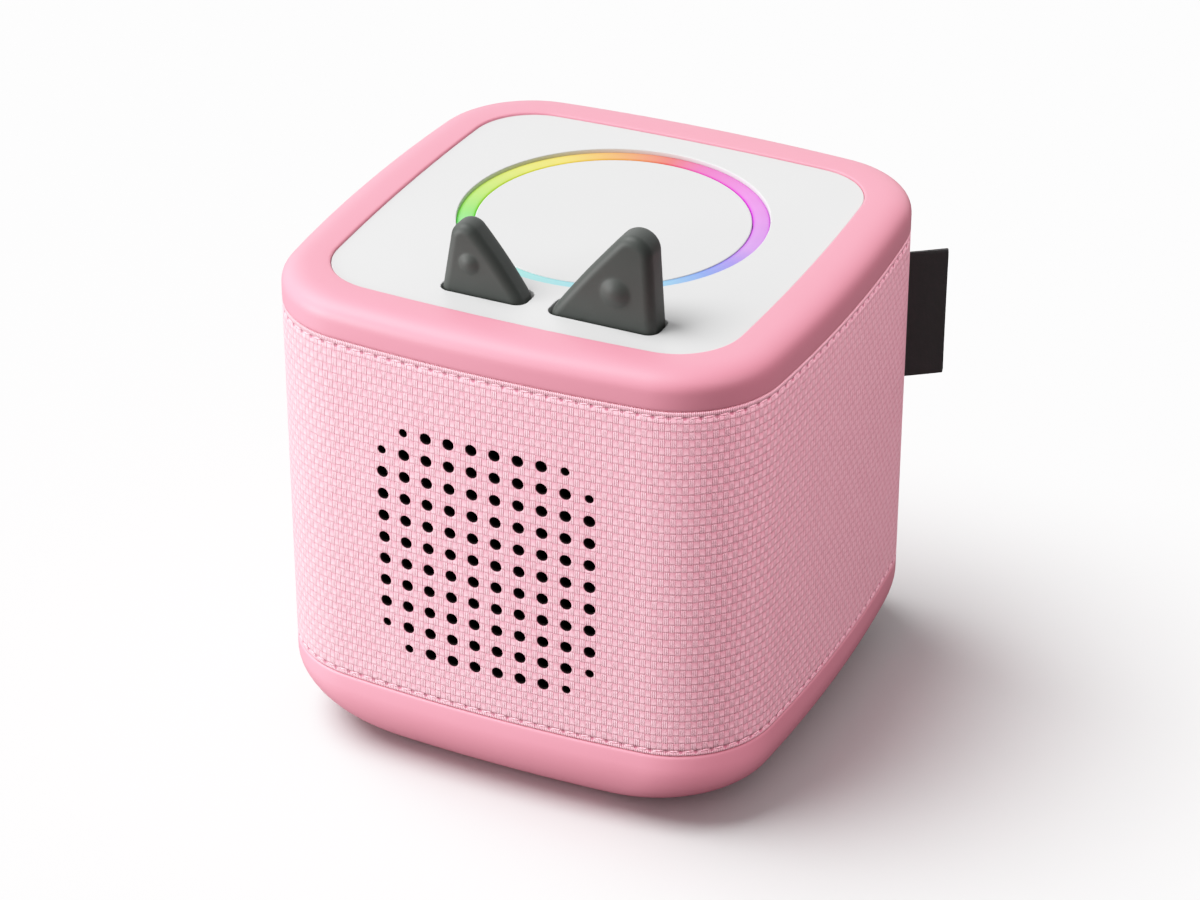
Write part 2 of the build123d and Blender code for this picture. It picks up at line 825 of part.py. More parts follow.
for ear in ears:
    # Soft skin: a fin with full round edges, and the dome that a finger presses.
    with BuildPart() as ear_skin:
        with BuildSketch(upright(ear_y + ear.thick / 2)) as fin:
            with BuildLine():
                Polyline(
                    (ear.sloping_side, shoulder_height),
                    (ear.sloping_side, ear_bottom),
                    (ear.upright_side, ear_bottom),
                    (ear.upright_side, shoulder_height),
                    ear.peak,
                )
                ThreePointArc(ear.peak, ear.slope_middle, (ear.sloping_side, shoulder_height))
            make_face()
            shoulders = fin.vertices().sort_by(Axis.Y)[2:4]
            fillet(shoulders, shoulder_radius)
            fillet(fin.vertices().sort_by(Axis.Y)[-1], ear.tip_radius)
        extrude(amount=ear.thick)
        outline = ear_skin.faces().filter_by(Axis.Y).edges()
        fillet(outline.filter_by(lambda edge: edge.center().Z > ear_bottom), ear_edge_radius)
        add(press_dome(ear))
        add(blade_slab(ear, blade_gap), mode=Mode.SUBTRACT)
    finish(ear_skin, f"{ear.name}_ear_skin")

    # Stiff lever: the blade in the skin, a barrel round the pin and a tail on the switch.
    with BuildPart() as ear_lever:
        add(blade_slab(ear, 0))
        with BuildSketch(sideways(ear.middle - barrel_half)):
            with Locations((ear_y, pivot_height)):
                Circle(barrel_radius)
            with Locations((ear_y, lever_tail_bottom)):
                Rectangle(blade_thick, ear_bottom - lever_tail_bottom, align=(Align.CENTER, Align.MIN))
        extrude(amount=2 * barrel_half)
        with BuildSketch(sideways(ear.middle - barrel_half)):
            with Locations((ear_y, pivot_height)):
                Circle(pin_radius + pin_clearance)
        extrude(amount=2 * barrel_half, mode=Mode.SUBTRACT)
    finish(ear_lever, f"{ear.name}_ear_lever")

    with BuildPart() as ear_pin:
        pin_half = barrel_half + lug_gap + lug_thick + pin_past_lug
        with BuildSketch(sideways(ear.middle - pin_half)):
            with Locations((ear_y, pivot_height)):
                Circle(pin_radius)
        extrude(amount=2 * pin_half)
    finish(ear_pin, f"{ear.name}_ear_pin")

    with BuildPart() as ear_switch:
        with BuildSketch(upright(switch_face)):
            with Locations((ear.middle, press_height)):
                Rectangle(switch_size, switch_size)
        extrude(amount=switch_depth)
        with BuildSketch(upright(switch_face)):
            with Locations((ear.middle, press_height)):
                Circle(plunger_radius + plunger_clearance)
        extrude(amount=plunger_inside + plunger_spare_travel, mode=Mode.SUBTRACT)
    finish(ear_switch, f"{ear.name}_ear_switch")

    with BuildPart() as ear_plunger:
        with BuildSketch(upright(plunger_tip)):
            with Locations((ear.middle, press_height)):
                Circle(plunger_radius)
        extrude(amount=plunger_tip - switch_face + plunger_inside)
    finish(ear_plunger, f"{ear.name}_ear_plunger")

# ---------------------------------------------------------------- loudspeaker
# Depths are measured back from the seat, so a depth d lies at y = speaker_face + d.
gasket_thick = 0.8
frame_thick = 1.2
basket_back = 14.0
basket_mouth = 26.5
basket_neck = 14.0
basket_wall = 1.0
washer_thick = 3.0
magnet_back = 25.0
magnet_outer = 16.0
magnet_inner = 9.0
yoke_back = 28.0
pole_radius = 6.5
gap_radius = 7.5
coil_inner = 6.8
coil_outer = 7.15
coil_back = 19.0
cone_edge = 22.0
cone_front = 2.8
cone_neck_depth = 9.0
cone_thick = 0.5
cap_radius = 8.6
surround_height = 1.8
window_count = 4
window_rim = 1.0
window_circle = 21.0
window_width = 9.0
window_length = 20.0
terminal_width = 8.0
terminal_drop = 4.0

speaker_plane = Plane(origin=(0, speaker_face, speaker_height), x_dir=(1, 0, 0), z_dir=(0, 1, 0))
speaker_axis = Axis((0, speaker_face, speaker_height), (0, 1, 0))
turning_plane = Plane(origin=(0, speaker_face, speaker_height), x_dir=(1, 0, 0), z_dir=(0, 0, 1))


def turned(points):
    """Turn a closed profile of (radius, depth) points about the loudspeaker's axis."""
    with BuildPart() as ring:
        with BuildSketch(turning_plane):
            with BuildLine():
                Polyline(*points, close=True)
            make_face()
        revolve(axis=speaker_axis)
    return ring.part


with BuildPart() as speaker_gasket:
    with BuildSketch(speaker_plane):
        Circle(speaker_radius)
        Circle(speaker_opening, mode=Mode.SUBTRACT)
        with Locations(*square_spots(speaker_screw_spot)):
            Circle(screw_hole_radius, mode=Mode.SUBTRACT)
    extrude(amount=gasket_thick)
finish(speaker_gasket, "speaker_gasket")

frame_front = gasket_thick
frame_back = gasket_thick + frame_thick

with BuildPart() as speaker_basket:
    with BuildSketch(speaker_plane.offset(frame_front)):
        Circle(speaker_radius)
        Circle(speaker_opening, mode=Mode.SUBTRACT)
        with Locations(*square_spots(speaker_screw_spot)):
            Circle(screw_hole_radius, mode=Mode.SUBTRACT)
    extrude(amount=frame_thick)
    add(
        turned(
            [
                (speaker_opening, frame_back - frame_thick / 2),
                (basket_mouth, frame_back - frame_thick / 2),
                (basket_mouth, frame_back),
                (basket_neck + basket_wall, basket_back - basket_wall),
                (basket_neck + basket_wall, basket_back),
                (gap_radius, basket_back),
                (gap_radius, basket_back - basket_wall),
                (basket_neck, basket_back - basket_wall),
                (speaker_opening, frame_back),
            ]
        )
    )
    # Terminal strip under the neck, for the leads.
    with BuildSketch(speaker_plane.offset(basket_back - basket_wall)):
        with Locations((0, basket_neck + basket_wall)):
            Rectangle(terminal_width, 2 * terminal_drop)
        Circle(basket_neck, mode=Mode.SUBTRACT)
    extrude(amount=basket_wall)
    # Windows between the spokes let the air behind the cone out.
    with BuildSketch(speaker_plane.offset(frame_back + window_rim)):
        with PolarLocations(window_circle, window_count, start_angle=0):
            Rectangle(window_width, window_length)
    extrude(amount=basket_back - frame_back - 3 * window_rim, mode=Mode.SUBTRACT)
finish(speaker_basket, "speaker_basket")

# The surround is a half roll that bulges forwards between the frame and the cone's edge.
surround_lip = cone_edge + cone_clearance
surround_crest = (surround_lip + speaker_opening) / 2
surround_thick = 0.4
crest_half = 0.9

with BuildPart() as speaker_surround:
    add(
        turned(
            [
                (speaker_opening, frame_front + surround_thick),
                (speaker_opening, frame_front),
                (surround_crest + crest_half, frame_front - surround_height),
                (surround_crest - crest_half, frame_front - surround_height),
                (surround_lip, frame_front),
                (surround_lip, frame_front + surround_thick),
                (surround_crest - crest_half, frame_front - surround_height + surround_thick),
                (surround_crest + crest_half, frame_front - surround_height + surround_thick),
            ]
        )
    )
finish(speaker_surround, "speaker_surround")

cone_lip = 1.0
cone_lip_rise = 1.4

with BuildPart() as speaker_cone:
    add(
        turned(
            [
                (cone_edge, cone_front - cone_lip_rise),
                (cone_edge, cone_front - cone_lip_rise + cone_thick),
                (cone_edge - cone_lip, cone_front - cone_lip + cone_thick),
                (coil_outer, cone_neck_depth + cone_thick),
                (coil_outer, cone_neck_depth),
                (cone_edge - cone_lip, cone_front - cone_lip_rise),
            ]
        )
    )
finish(speaker_cone, "speaker_cone")

# The cap is a shallow ball shell, trimmed where it meets the cone.
cap_depth = 8.15
cap_rise = 2.6
cap_ball = (cap_radius**2 + cap_rise**2) / (2 * cap_rise)

with BuildPart() as dust_cap:
    with Locations((0, speaker_face + cap_depth - cap_rise + cap_ball, speaker_height)):
        Sphere(cap_ball)
        Sphere(cap_ball - cone_thick, mode=Mode.SUBTRACT)
    split(bisect_by=speaker_plane.offset(cap_depth), keep=Keep.BOTTOM)
finish(dust_cap, "dust_cap")

with BuildPart() as voice_coil:
    with BuildSketch(speaker_plane.offset(cone_neck_depth - 1)):
        Circle(coil_outer)
        Circle(coil_inner, mode=Mode.SUBTRACT)
    extrude(amount=coil_back - cone_neck_depth + 1)
finish(voice_coil, "voice_coil")

with BuildPart() as speaker_washer:
    with BuildSketch(speaker_plane.offset(basket_back)):
        Circle(basket_neck)
        Circle(gap_radius, mode=Mode.SUBTRACT)
    extrude(amount=washer_thick)
finish(speaker_washer, "speaker_washer")

with BuildPart() as speaker_magnet:
    with BuildSketch(speaker_plane.offset(basket_back + washer_thick)):
        Circle(magnet_outer)
        Circle(magnet_inner, mode=Mode.SUBTRACT)
    extrude(amount=magnet_back - basket_back - washer_thick)
finish(speaker_magnet, "speaker_magnet")

with BuildPart() as speaker_yoke:
    with BuildSketch(speaker_plane.offset(magnet_back)):
        Circle(magnet_outer - 1)
    extrude(amount=yoke_back - magnet_back)
    with BuildSketch(speaker_plane.offset(basket_back)):
        Circle(pole_radius)
    extrude(amount=magnet_back - basket_back)
finish(speaker_yoke, "speaker_yoke")

with BuildPart() as speaker_screws:
    with Locations(
        *[
            Location((x, speaker_face + frame_back, z), (-90, 0, 0))
            for x, z in square_spots(speaker_screw_spot, speaker_height)
        ]
    ):
        add(screw(frame_back + speaker_screw_bite))
finish(speaker_screws, "speaker_screws")

# ---------------------------------------------------------------- electronics
board_half_width = 32.0
board_bottom = 44.0
board_top = 94.0
chip_rise = 1.0
connector_rise = 4.0
module_rise = 2.4
speaker_plug = (0.0, 51.0)
battery_plug = (22.0, 51.0)
ribbon_plug = (ribbon_x, 91.0)
plug_width = 6.0
plug_height = 6.0

with BuildPart() as main_board:
    with BuildSketch(upright(board_y + board_thick)):
        with Locations((0, (board_bottom + board_top) / 2)):
            RectangleRounded(2 * board_half_width, board_top - board_bottom, 2.0)
        with Locations(*board_posts):
            Circle(screw_hole_radius, mode=Mode.SUBTRACT)
    extrude(amount=board_thick)
finish(main_board, "main_board")

with BuildPart() as board_screws:
    with Locations(*[Location((x, board_y, z), (90, 0, 0)) for x, z in board_posts]):
        add(screw(board_thick + board_screw_bite))
finish(board_screws, "board_screws")

with BuildPart() as board_chips:
    with BuildSketch(upright(board_y)):
        with Locations((-4, 72)):
            Rectangle(14, 14)
        with Locations((-20, 70)):
            Rectangle(9, 12)
        with Locations((-14, 54)):
            Rectangle(5, 5)
        with Locations((12, 60)):
            Rectangle(6, 6)
    extrude(amount=chip_rise)
finish(board_chips, "board_chips")

with BuildPart() as wireless_module:
    with BuildSketch(upright(board_y)):
        with Locations((19, 76)):
            RectangleRounded(14, 18, 0.8)
    extrude(amount=module_rise)
finish(wireless_module, "wireless_module")

with BuildPart() as board_plugs:
    with BuildSketch(upright(board_y)):
        with Locations(speaker_plug, battery_plug, ribbon_plug):
            Rectangle(plug_width, plug_height)
    extrude(amount=connector_rise)
finish(board_plugs, "board_plugs")

with BuildPart() as ring_ribbon:
    ribbon_bottom = ribbon_plug[1] + plug_height / 2
    with BuildSketch(Plane.XY.offset(ribbon_bottom)):
        with Locations((ribbon_x, ribbon_y)):
            Rectangle(ribbon_width, ribbon_thick)
    extrude(amount=led_board_bottom - ribbon_bottom)
finish(ring_ribbon, "ring_ribbon")

# ---------------------------------------------------------------- battery
cell_radius = 9.2
cell_length = 65.0
cell_ys = (-11.0, 9.0)
tray_floor = 1.6
tray_wall = 2.0
cell_height = core_floor + core_wall + tray_floor + cell_radius
tray_front = -22.0
tray_back = 20.0
tray_lip = 3.0
strap_width = 14.0
strap_thick = 0.8

tray_bottom = core_floor + core_wall
tray_half = cell_length / 2 + tray_wall
cell_top = cell_height + cell_radius

with BuildPart() as battery_tray:
    with BuildSketch(Plane.XY.offset(tray_bottom)):
        with Locations((0, (tray_front + tray_back) / 2)):
            Rectangle(2 * tray_half, tray_back - tray_front)
    extrude(amount=tray_floor)
    with BuildSketch(Plane.XY.offset(tray_bottom)):
        for side in (-1, 1):
            with Locations((side * (tray_half - tray_wall / 2), (tray_front + tray_back) / 2)):
                Rectangle(tray_wall, tray_back - tray_front)
    extrude(amount=cell_height + tray_lip - tray_bottom)
finish(battery_tray, "battery_tray")

with BuildPart() as battery_cells:
    with BuildSketch(sideways(-cell_length / 2)):
        for y in cell_ys:
            with Locations((y, cell_height)):
                Circle(cell_radius)
    extrude(amount=cell_length)
finish(battery_cells, "battery_cells")

with BuildPart() as battery_strap:
    with BuildSketch(sideways(-strap_width / 2)):
        with Locations((tray_front, tray_bottom)):
            Rectangle(strap_thick, cell_top - tray_bottom + strap_thick, align=(Align.MAX, Align.MIN))
        with Locations((tray_back, tray_bottom)):
            Rectangle(strap_thick, cell_top - tray_bottom + strap_thick, align=(Align.MIN, Align.MIN))
        with Locations((tray_front, cell_top)):
            Rectangle(tray_back - tray_front, strap_thick, align=(Align.MIN, Align.MIN))
    extrude(amount=strap_width)
finish(battery_strap, "battery_strap")

# ---------------------------------------------------------------- ports
port_board_half = 20.0
jack_nose_radius = 3.0
jack_body_front = 38.0
jack_body_back = 50.5
jack_body_half = 5.0
usb_front = 46.0
usb_shell = 0.3
usb_outer_round = 1.58
usb_inner_round = usb_outer_round - usb_shell
usb_pocket_width = 13.0
usb_pocket_height = 7.0
usb_pocket_round = 3.4
usb_tongue_width = 6.7
usb_tongue_thick = 0.7
usb_tongue_sink = 0.8
usb_leg_length = 3.0
port_board_top = port_board_bottom + board_thick

with BuildPart() as port_board:
    with BuildSketch(Plane.XY.offset(port_board_bottom)):
        with Locations((0, port_board_middle)):
            Rectangle(2 * port_board_half, port_board_back - port_board_front)
    extrude(amount=board_thick)
finish(port_board, "port_board")

with BuildPart() as port_bezel:
    with BuildSketch(upright(bezel_face)):
        with Locations((0, port_height)):
            SlotOverall(bezel_width, bezel_height)
    extrude(amount=bezel_face - port_board_back)
    with BuildSketch(Plane.XY.offset(base_seam)):
        cube_plan(core_half)
    extrude(amount=half_width, mode=Mode.SUBTRACT)
    with BuildSketch(upright(bezel_face)):
        with Locations((jack_x, port_height)):
            Circle(jack_nose_radius + skin_gap)
        with Locations((usb_x, port_height)):
            RectangleRounded(usb_width + 2 * skin_gap, usb_height + 2 * skin_gap, usb_height / 2)
    extrude(amount=half_width, mode=Mode.SUBTRACT)
    with BuildSketch(upright(bezel_face)):
        with Locations((usb_x, port_height)):
            RectangleRounded(usb_pocket_width, usb_pocket_height, usb_pocket_round)
    extrude(amount=bezel_face - usb_mouth, mode=Mode.SUBTRACT)
finish(port_bezel, "port_bezel")

with BuildPart() as headphone_socket:
    with BuildSketch(upright(jack_body_back)):
        with Locations((jack_x, (port_board_top + port_height + jack_nose_radius) / 2)):
            Rectangle(2 * jack_body_half, port_height + jack_nose_radius - port_board_top)
    extrude(amount=jack_body_back - jack_body_front)
    with BuildSketch(upright(jack_mouth)):
        with Locations((jack_x, port_height)):
            Circle(jack_nose_radius)
    extrude(amount=jack_mouth - jack_body_back)
    with BuildSketch(upright(jack_mouth)):
        with Locations((jack_x, port_height)):
            Circle(jack_bore_radius)
    extrude(amount=jack_bore_length, mode=Mode.SUBTRACT)
finish(headphone_socket, "headphone_socket")

with BuildPart() as usb_socket:
    with BuildSketch(upright(usb_mouth)):
        with Locations((usb_x, port_height)):
            RectangleRounded(usb_width, usb_height, usb_outer_round)
            RectangleRounded(
                usb_width - 2 * usb_shell,
                usb_height - 2 * usb_shell,
                usb_inner_round,
                mode=Mode.SUBTRACT,
            )
    extrude(amount=usb_mouth - usb_front)
    # Its legs stand on the port board.
    with BuildSketch(Plane.XY.offset(port_board_top)):
        with Locations((usb_x, usb_front + usb_leg_length / 2)):
            Rectangle(usb_width - usb_height, usb_leg_length)
    extrude(amount=port_height - usb_height / 2 + usb_shell / 2 - port_board_top)
finish(usb_socket, "usb_socket")

# Insulator of the charging socket: a block in the shell with the contact tongue.
with BuildPart() as usb_insert:
    with BuildSketch(upright(usb_front + usb_leg_length)):
        with Locations((usb_x, port_height)):
            RectangleRounded(usb_width - 2 * usb_shell, usb_height - 2 * usb_shell, usb_inner_round)
    extrude(amount=usb_leg_length)
    with BuildSketch(upright(usb_mouth - usb_tongue_sink)):
        with Locations((usb_x, port_height)):
            Rectangle(usb_tongue_width, usb_tongue_thick)
    extrude(amount=usb_mouth - usb_tongue_sink - usb_front)
finish(usb_insert, "usb_insert")

# ---------------------------------------------------------------- internal leads
# Each lead is a flat two-core cable that runs in one plane, straight and bent in turn.
lead_width = 2.6
lead_thick = 1.3
lead_bend = 5.0
plug_y = board_y - connector_rise / 2


def lead(x, points):
    """Sweep a flat lead along (y, z) points in the plane of the given X."""
    with BuildPart() as wire:
        with BuildLine() as route:
            FilletPolyline(*[(x, y, z) for y, z in points], radius=lead_bend)
        with BuildSketch(Plane(origin=route.line @ 0, x_dir=(1, 0, 0), z_dir=route.line % 0)):
            Rectangle(lead_width, lead_thick)
        sweep()
    return wire.part


with BuildPart() as speaker_lead:
    plug_x, plug_z = speaker_plug
    start = (speaker_face + basket_back, speaker_height - basket_neck - terminal_drop + lead_thick)
    past_magnet = (start[0] + 14.0, start[1])
    under_plug = (plug_y, start[1] - 7.0)
    add(lead(plug_x, [start, past_magnet, under_plug, (plug_y, plug_z - plug_height / 2)]))
finish(speaker_lead, "speaker_lead")

with BuildPart() as battery_lead:
    plug_x, plug_z = battery_plug
    start = (tray_back, tray_bottom + lead_thick)
    past_tray = (start[0] + 7.0, start[1])
    under_plug = (plug_y, start[1] + 20.0)
    add(lead(plug_x, [start, past_tray, under_plug, (plug_y, plug_z - plug_height / 2)]))
finish(battery_lead, "battery_lead")
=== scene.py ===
# %% [markdown]
# # Audio story player
#
# A padded cube for small children. A stretch cover of basket-weave fabric runs round its four sides,
# between a soft silicone rim and a soft silicone base. The top holds a white plate with a round, lit dock
# and two rubber ears that rock. This notebook dresses the fixed model with real surfaces, one piece at a time.
# The first cell loads that model, whose pieces keep their size and place.

# %% Load the fixed model
import json
import math
import random
from functools import partial

import bmesh
import bpy
from mathutils import Matrix, Vector


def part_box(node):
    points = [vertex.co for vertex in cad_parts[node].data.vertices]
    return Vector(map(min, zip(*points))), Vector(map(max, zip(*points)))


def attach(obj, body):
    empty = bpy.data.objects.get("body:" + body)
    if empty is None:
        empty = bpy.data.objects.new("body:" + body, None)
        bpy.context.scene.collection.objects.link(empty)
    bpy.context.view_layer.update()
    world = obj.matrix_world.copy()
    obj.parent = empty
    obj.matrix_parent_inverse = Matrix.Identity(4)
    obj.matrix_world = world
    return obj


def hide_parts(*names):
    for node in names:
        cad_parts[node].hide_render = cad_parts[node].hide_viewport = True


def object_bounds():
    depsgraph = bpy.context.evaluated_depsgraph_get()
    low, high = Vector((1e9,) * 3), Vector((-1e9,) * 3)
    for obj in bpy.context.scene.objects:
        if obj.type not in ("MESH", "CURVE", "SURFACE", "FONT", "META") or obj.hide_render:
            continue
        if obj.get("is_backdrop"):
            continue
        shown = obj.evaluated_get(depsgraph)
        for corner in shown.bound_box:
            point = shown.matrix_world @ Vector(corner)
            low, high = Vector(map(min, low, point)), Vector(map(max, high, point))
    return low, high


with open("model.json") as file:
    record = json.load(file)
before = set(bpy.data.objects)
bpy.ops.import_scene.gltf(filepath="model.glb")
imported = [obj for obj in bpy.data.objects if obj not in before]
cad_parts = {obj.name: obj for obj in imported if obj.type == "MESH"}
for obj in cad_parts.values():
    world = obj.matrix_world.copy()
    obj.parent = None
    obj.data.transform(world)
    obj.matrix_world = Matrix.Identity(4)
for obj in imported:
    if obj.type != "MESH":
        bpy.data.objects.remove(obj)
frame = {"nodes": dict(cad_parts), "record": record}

MM = 0.001
rng = random.Random(12)
nodes = frame["nodes"]
cad_box = [list(corner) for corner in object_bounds()]
print("CAD box in mm:", [[round(value / MM, 1) for value in corner] for corner in cad_box])

# %% [markdown]
# ## Driving sizes
#
# Everything here is in millimetres. The cube's plan is a square with slightly bowed sides: each side is a
# shallow arc that runs smoothly into a tight corner arc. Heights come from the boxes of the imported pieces, so
# each dressed piece sits where its solid does. Only the seam under the rim lies 0.8 mm lower than there.

# %% Sizes shared by several pieces
half_width = 60.0
side_bow = 406.0
corner_radius = 23.8

base_tuck = 1.5
rim_tuck = 2.3
base_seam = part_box("fabric_cover")[0][2] / MM + base_tuck
rim_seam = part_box("fabric_cover")[1][2] / MM - rim_tuck
rim_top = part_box("top_rim")[1][2] / MM
plate_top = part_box("top_plate")[1][2] / MM
print(f"seams at {base_seam:.1f} and {rim_seam:.1f}, rim {rim_top:.1f}, plate {plate_top:.1f}")

# %% [markdown]
# ## Walking round the cube
#
# Cover, rim, base and stitches all follow the same closed plan, so one small class answers the only
# question that they ask: where is the point at a given distance along the outline, and which way is out?
# Distances start at the middle of the front and run anticlockwise, seen from above.


# %% The outline
class Outline:
    """A square of four bowed sides and four corner arcs, tangent where they meet."""

    def __init__(self, half, corner, bow):
        self.corner = corner
        self.bow = bow
        self.reach = bow - half
        span = bow - corner
        self.corner_middle = (math.sqrt(2 * span**2 - self.reach**2) - self.reach) / 2
        self.side_angle = math.atan2(self.corner_middle, self.corner_middle + self.reach)
        self.side = 2 * self.side_angle * bow
        self.turn = (math.pi / 2 - 2 * self.side_angle) * corner
        self.length = 4 * (self.side + self.turn)

    def at(self, along):
        """Return the point and the outward direction at a distance along the outline."""
        quarter, rest = divmod((along + self.side / 2) % self.length, self.side + self.turn)
        facing = math.pi / 2 * (quarter - 1)
        if rest < self.side:
            angle = facing - self.side_angle + rest / self.bow
            centre = Vector((-self.reach, 0))
            radius = self.bow
        else:
            angle = facing + self.side_angle + (rest - self.side) / self.corner
            centre = Vector((self.corner_middle, self.corner_middle))
            radius = self.corner
        centre = centre @ Matrix.Rotation(-facing, 2)
        out = Vector((math.cos(angle), math.sin(angle)))
        return centre + out * radius, out

    def ring(self, per_side, per_corner):
        """Return evenly spread points, as many on every outline that gets the same counts."""
        distances = []
        for quarter in range(4):
            start = quarter * (self.side + self.turn) - self.side / 2
            distances += [start + self.side * step / per_side for step in range(per_side)]
            distances += [start + self.side + self.turn * step / per_corner for step in range(per_corner)]
        return [self.at(distance) for distance in distances]


cube = Outline(half_width, corner_radius, side_bow)
print(f"the cover is {cube.length:.1f} mm round")

# %% [markdown]
# ## Making meshes
#
# Two helpers make nearly every new piece. One turns points and faces into an object that is smooth shaded,
# rides on a body of the fixed model and hides the solids that it dresses. The other joins a stack of
# closed rings with rows of quads, which suits anything that runs round the cube.


# %% Mesh helpers
def make_piece(name, points, faces, body="case", stands_for=(), finish=None):
    """Make a smooth mesh piece from points in millimetres."""
    mesh = bpy.data.meshes.new(name)
    mesh.from_pydata([Vector(point) * MM for point in points], [], faces)
    mesh.validate()
    mesh.shade_smooth()
    return place_piece(name, mesh, body, stands_for, finish)


def place_piece(name, mesh, body="case", stands_for=(), finish=None):
    """Turn a mesh into a piece that rides on a body and hides the solids that it replaces."""
    piece = bpy.data.objects.new(name, mesh)
    bpy.context.scene.collection.objects.link(piece)
    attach(piece, body)
    if stands_for:
        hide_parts(*stands_for)
    return piece


def joined_rings(rings, close=False):
    """Return the points and faces of a wall through a list of equally long closed rings."""
    count = len(rings[0])
    points = [point for ring in rings for point in ring]
    faces = []
    rows = len(rings)
    for row in range(rows if close else rows - 1):
        low, high = row * count, (row + 1) % rows * count
        for step in range(count):
            after = (step + 1) % count
            faces.append((low + step, low + after, high + after, high + step))
    return points, faces


def apply_modifiers(piece):
    """Turn a piece's modifiers into plain mesh."""
    depsgraph = bpy.context.evaluated_depsgraph_get()
    depsgraph.update()
    solid = bpy.data.meshes.new_from_object(piece.evaluated_get(depsgraph))
    piece.modifiers.clear()
    old = piece.data
    piece.data = solid
    bpy.data.meshes.remove(old)


def drop_loose_points(piece):
    """Delete the points of a piece that no face uses."""
    work = bmesh.new()
    work.from_mesh(piece.data)
    bmesh.ops.delete(work, geom=[point for point in work.verts if not point.link_faces], context="VERTS")
    work.to_mesh(piece.data)
    work.free()


# %% [markdown]
# ## The camera
#
# The camera stands to the right and well above, with a long lens that keeps the cube's uprights nearly
# parallel. It is made first so that every later step can be judged from the same place.

# %% Camera
camera_down = 30.05
camera_turn = 25.086
camera = bpy.data.objects.new("camera", bpy.data.cameras.new("camera"))
bpy.context.scene.collection.objects.link(camera)
bpy.context.scene.camera = camera
camera.data.lens = 113.7
camera.data.sensor_width = 36.0
camera.location = (0.31777, -0.67981, 0.49206)
camera.rotation_euler = (math.radians(90 - camera_down), 0.0, math.radians(camera_turn))

# %% [markdown]
# ## Shader helpers
#
# Each finish is a Principled shader fed by a few texture nodes. The helpers keep the node code short. They add
# a node, a Math node, a mix of two colours or a bump, open a material or a group, and take each input either as
# a plain value or as the output of another node.


# %% Node helpers
def fill_socket(tree, socket, value):
    """Link a socket to a node's output, or give it a plain value."""
    if isinstance(value, bpy.types.NodeSocket):
        tree.links.new(value, socket)
    else:
        socket.default_value = value


def fill_inputs(tree, node, **inputs):
    """Fill a node's inputs by name, with underscores for spaces."""
    for key, value in inputs.items():
        fill_socket(tree, node.inputs[key.replace("_", " ")], value)


def add_node(tree, kind, settings=None, **inputs):
    """Add a node, set its properties, and fill its inputs."""
    node = tree.nodes.new(kind)
    for key, value in (settings or {}).items():
        setattr(node, key, value)
    fill_inputs(tree, node, **inputs)
    return node


def calc(tree, operation, *values):
    """Add a Math node and return its output."""
    node = add_node(tree, "ShaderNodeMath", {"operation": operation})
    for socket, value in zip(node.inputs, values):
        fill_socket(tree, socket, value)
    return node.outputs[0]


def spread(tree, value, start, end, low, high):
    """Map a value from the range start to end onto low to high, and hold it there outside."""
    node = add_node(
        tree, "ShaderNodeMapRange", Value=value, From_Min=start, From_Max=end, To_Min=low, To_Max=high
    )
    return node.outputs[0]


def mix_colours(tree, share, first, second):
    """Mix two colours by a share from 0 to 1 and return the colour socket."""
    node = add_node(tree, "ShaderNodeMix", {"data_type": "RGBA"})
    for socket, value in zip((node.inputs[0], node.inputs[6], node.inputs[7]), (share, first, second)):
        fill_socket(tree, socket, value)
    return node.outputs[2]


def add_bump(tree, height, strength, depth):
    """Add a Bump node with a depth in millimetres and return its normal."""
    return add_node(tree, "ShaderNodeBump", Height=height, Strength=strength, Distance=depth * MM).outputs[0]


def object_place(tree):
    """Return the place on the piece, in its own coordinates."""
    return add_node(tree, "ShaderNodeTexCoord").outputs["Object"]


def screen_colour(red, green, blue):
    """Turn a colour as seen on a screen, from 0 to 255, into the linear one that shaders use."""
    parts = [part / 255 for part in (red, green, blue)]
    linear = [part / 12.92 if part <= 0.04045 else ((part + 0.055) / 1.055) ** 2.4 for part in parts]
    return (*linear, 1.0)


def new_finish(name):
    """Open a new material and return it with its node tree and its Principled shader."""
    material = bpy.data.materials.new(name)
    material.use_nodes = True
    tree = material.node_tree
    return material, tree, tree.nodes["Principled BSDF"]


def new_group(name, inputs, outputs):
    """Open a node group with named number sockets, the inputs with their defaults."""
    group = bpy.data.node_groups.new(name, "ShaderNodeTree")
    for label, default in inputs.items():
        socket = group.interface.new_socket(name=label, in_out="INPUT", socket_type="NodeSocketFloat")
        socket.default_value = default
    for label in outputs:
        group.interface.new_socket(name=label, in_out="OUTPUT", socket_type="NodeSocketFloat")
    return group, group.nodes.new("NodeGroupInput").outputs, group.nodes.new("NodeGroupOutput").inputs


def use_group(tree, group, **inputs):
    """Place a node group in a tree and return its outputs."""
    node = tree.nodes.new("ShaderNodeGroup")
    node.node_tree = group
    fill_inputs(tree, node, **inputs)
    return node.outputs


# %% [markdown]
# ## Shared effect: moulded grain
#
# Silicone, rubber and moulded plastic all carry a fine spark-eroded grain from their mould, and a faint
# cloudiness where hands and wiping have polished them. One group makes both, so a finish only picks the
# grain's size. The height feeds a Bump node and the patches feed colour and roughness.

# %% Group: moulded grain
grain_group, grain_in, grain_out = new_group(
    "moulded grain", {"Grain Size": 0.3, "Patch Size": 18.0}, ("Height", "Patches")
)


def grain_noise(size, detail, **more):
    """Add noise to the group, with features of a size in millimetres, and return its value."""
    per_metre = calc(grain_group, "DIVIDE", 1000.0, size)
    noise = add_node(grain_group, "ShaderNodeTexNoise", Scale=per_metre, Detail=detail, **more)
    grain_group.links.new(object_place(grain_group), noise.inputs["Vector"])
    return noise.outputs["Fac"]


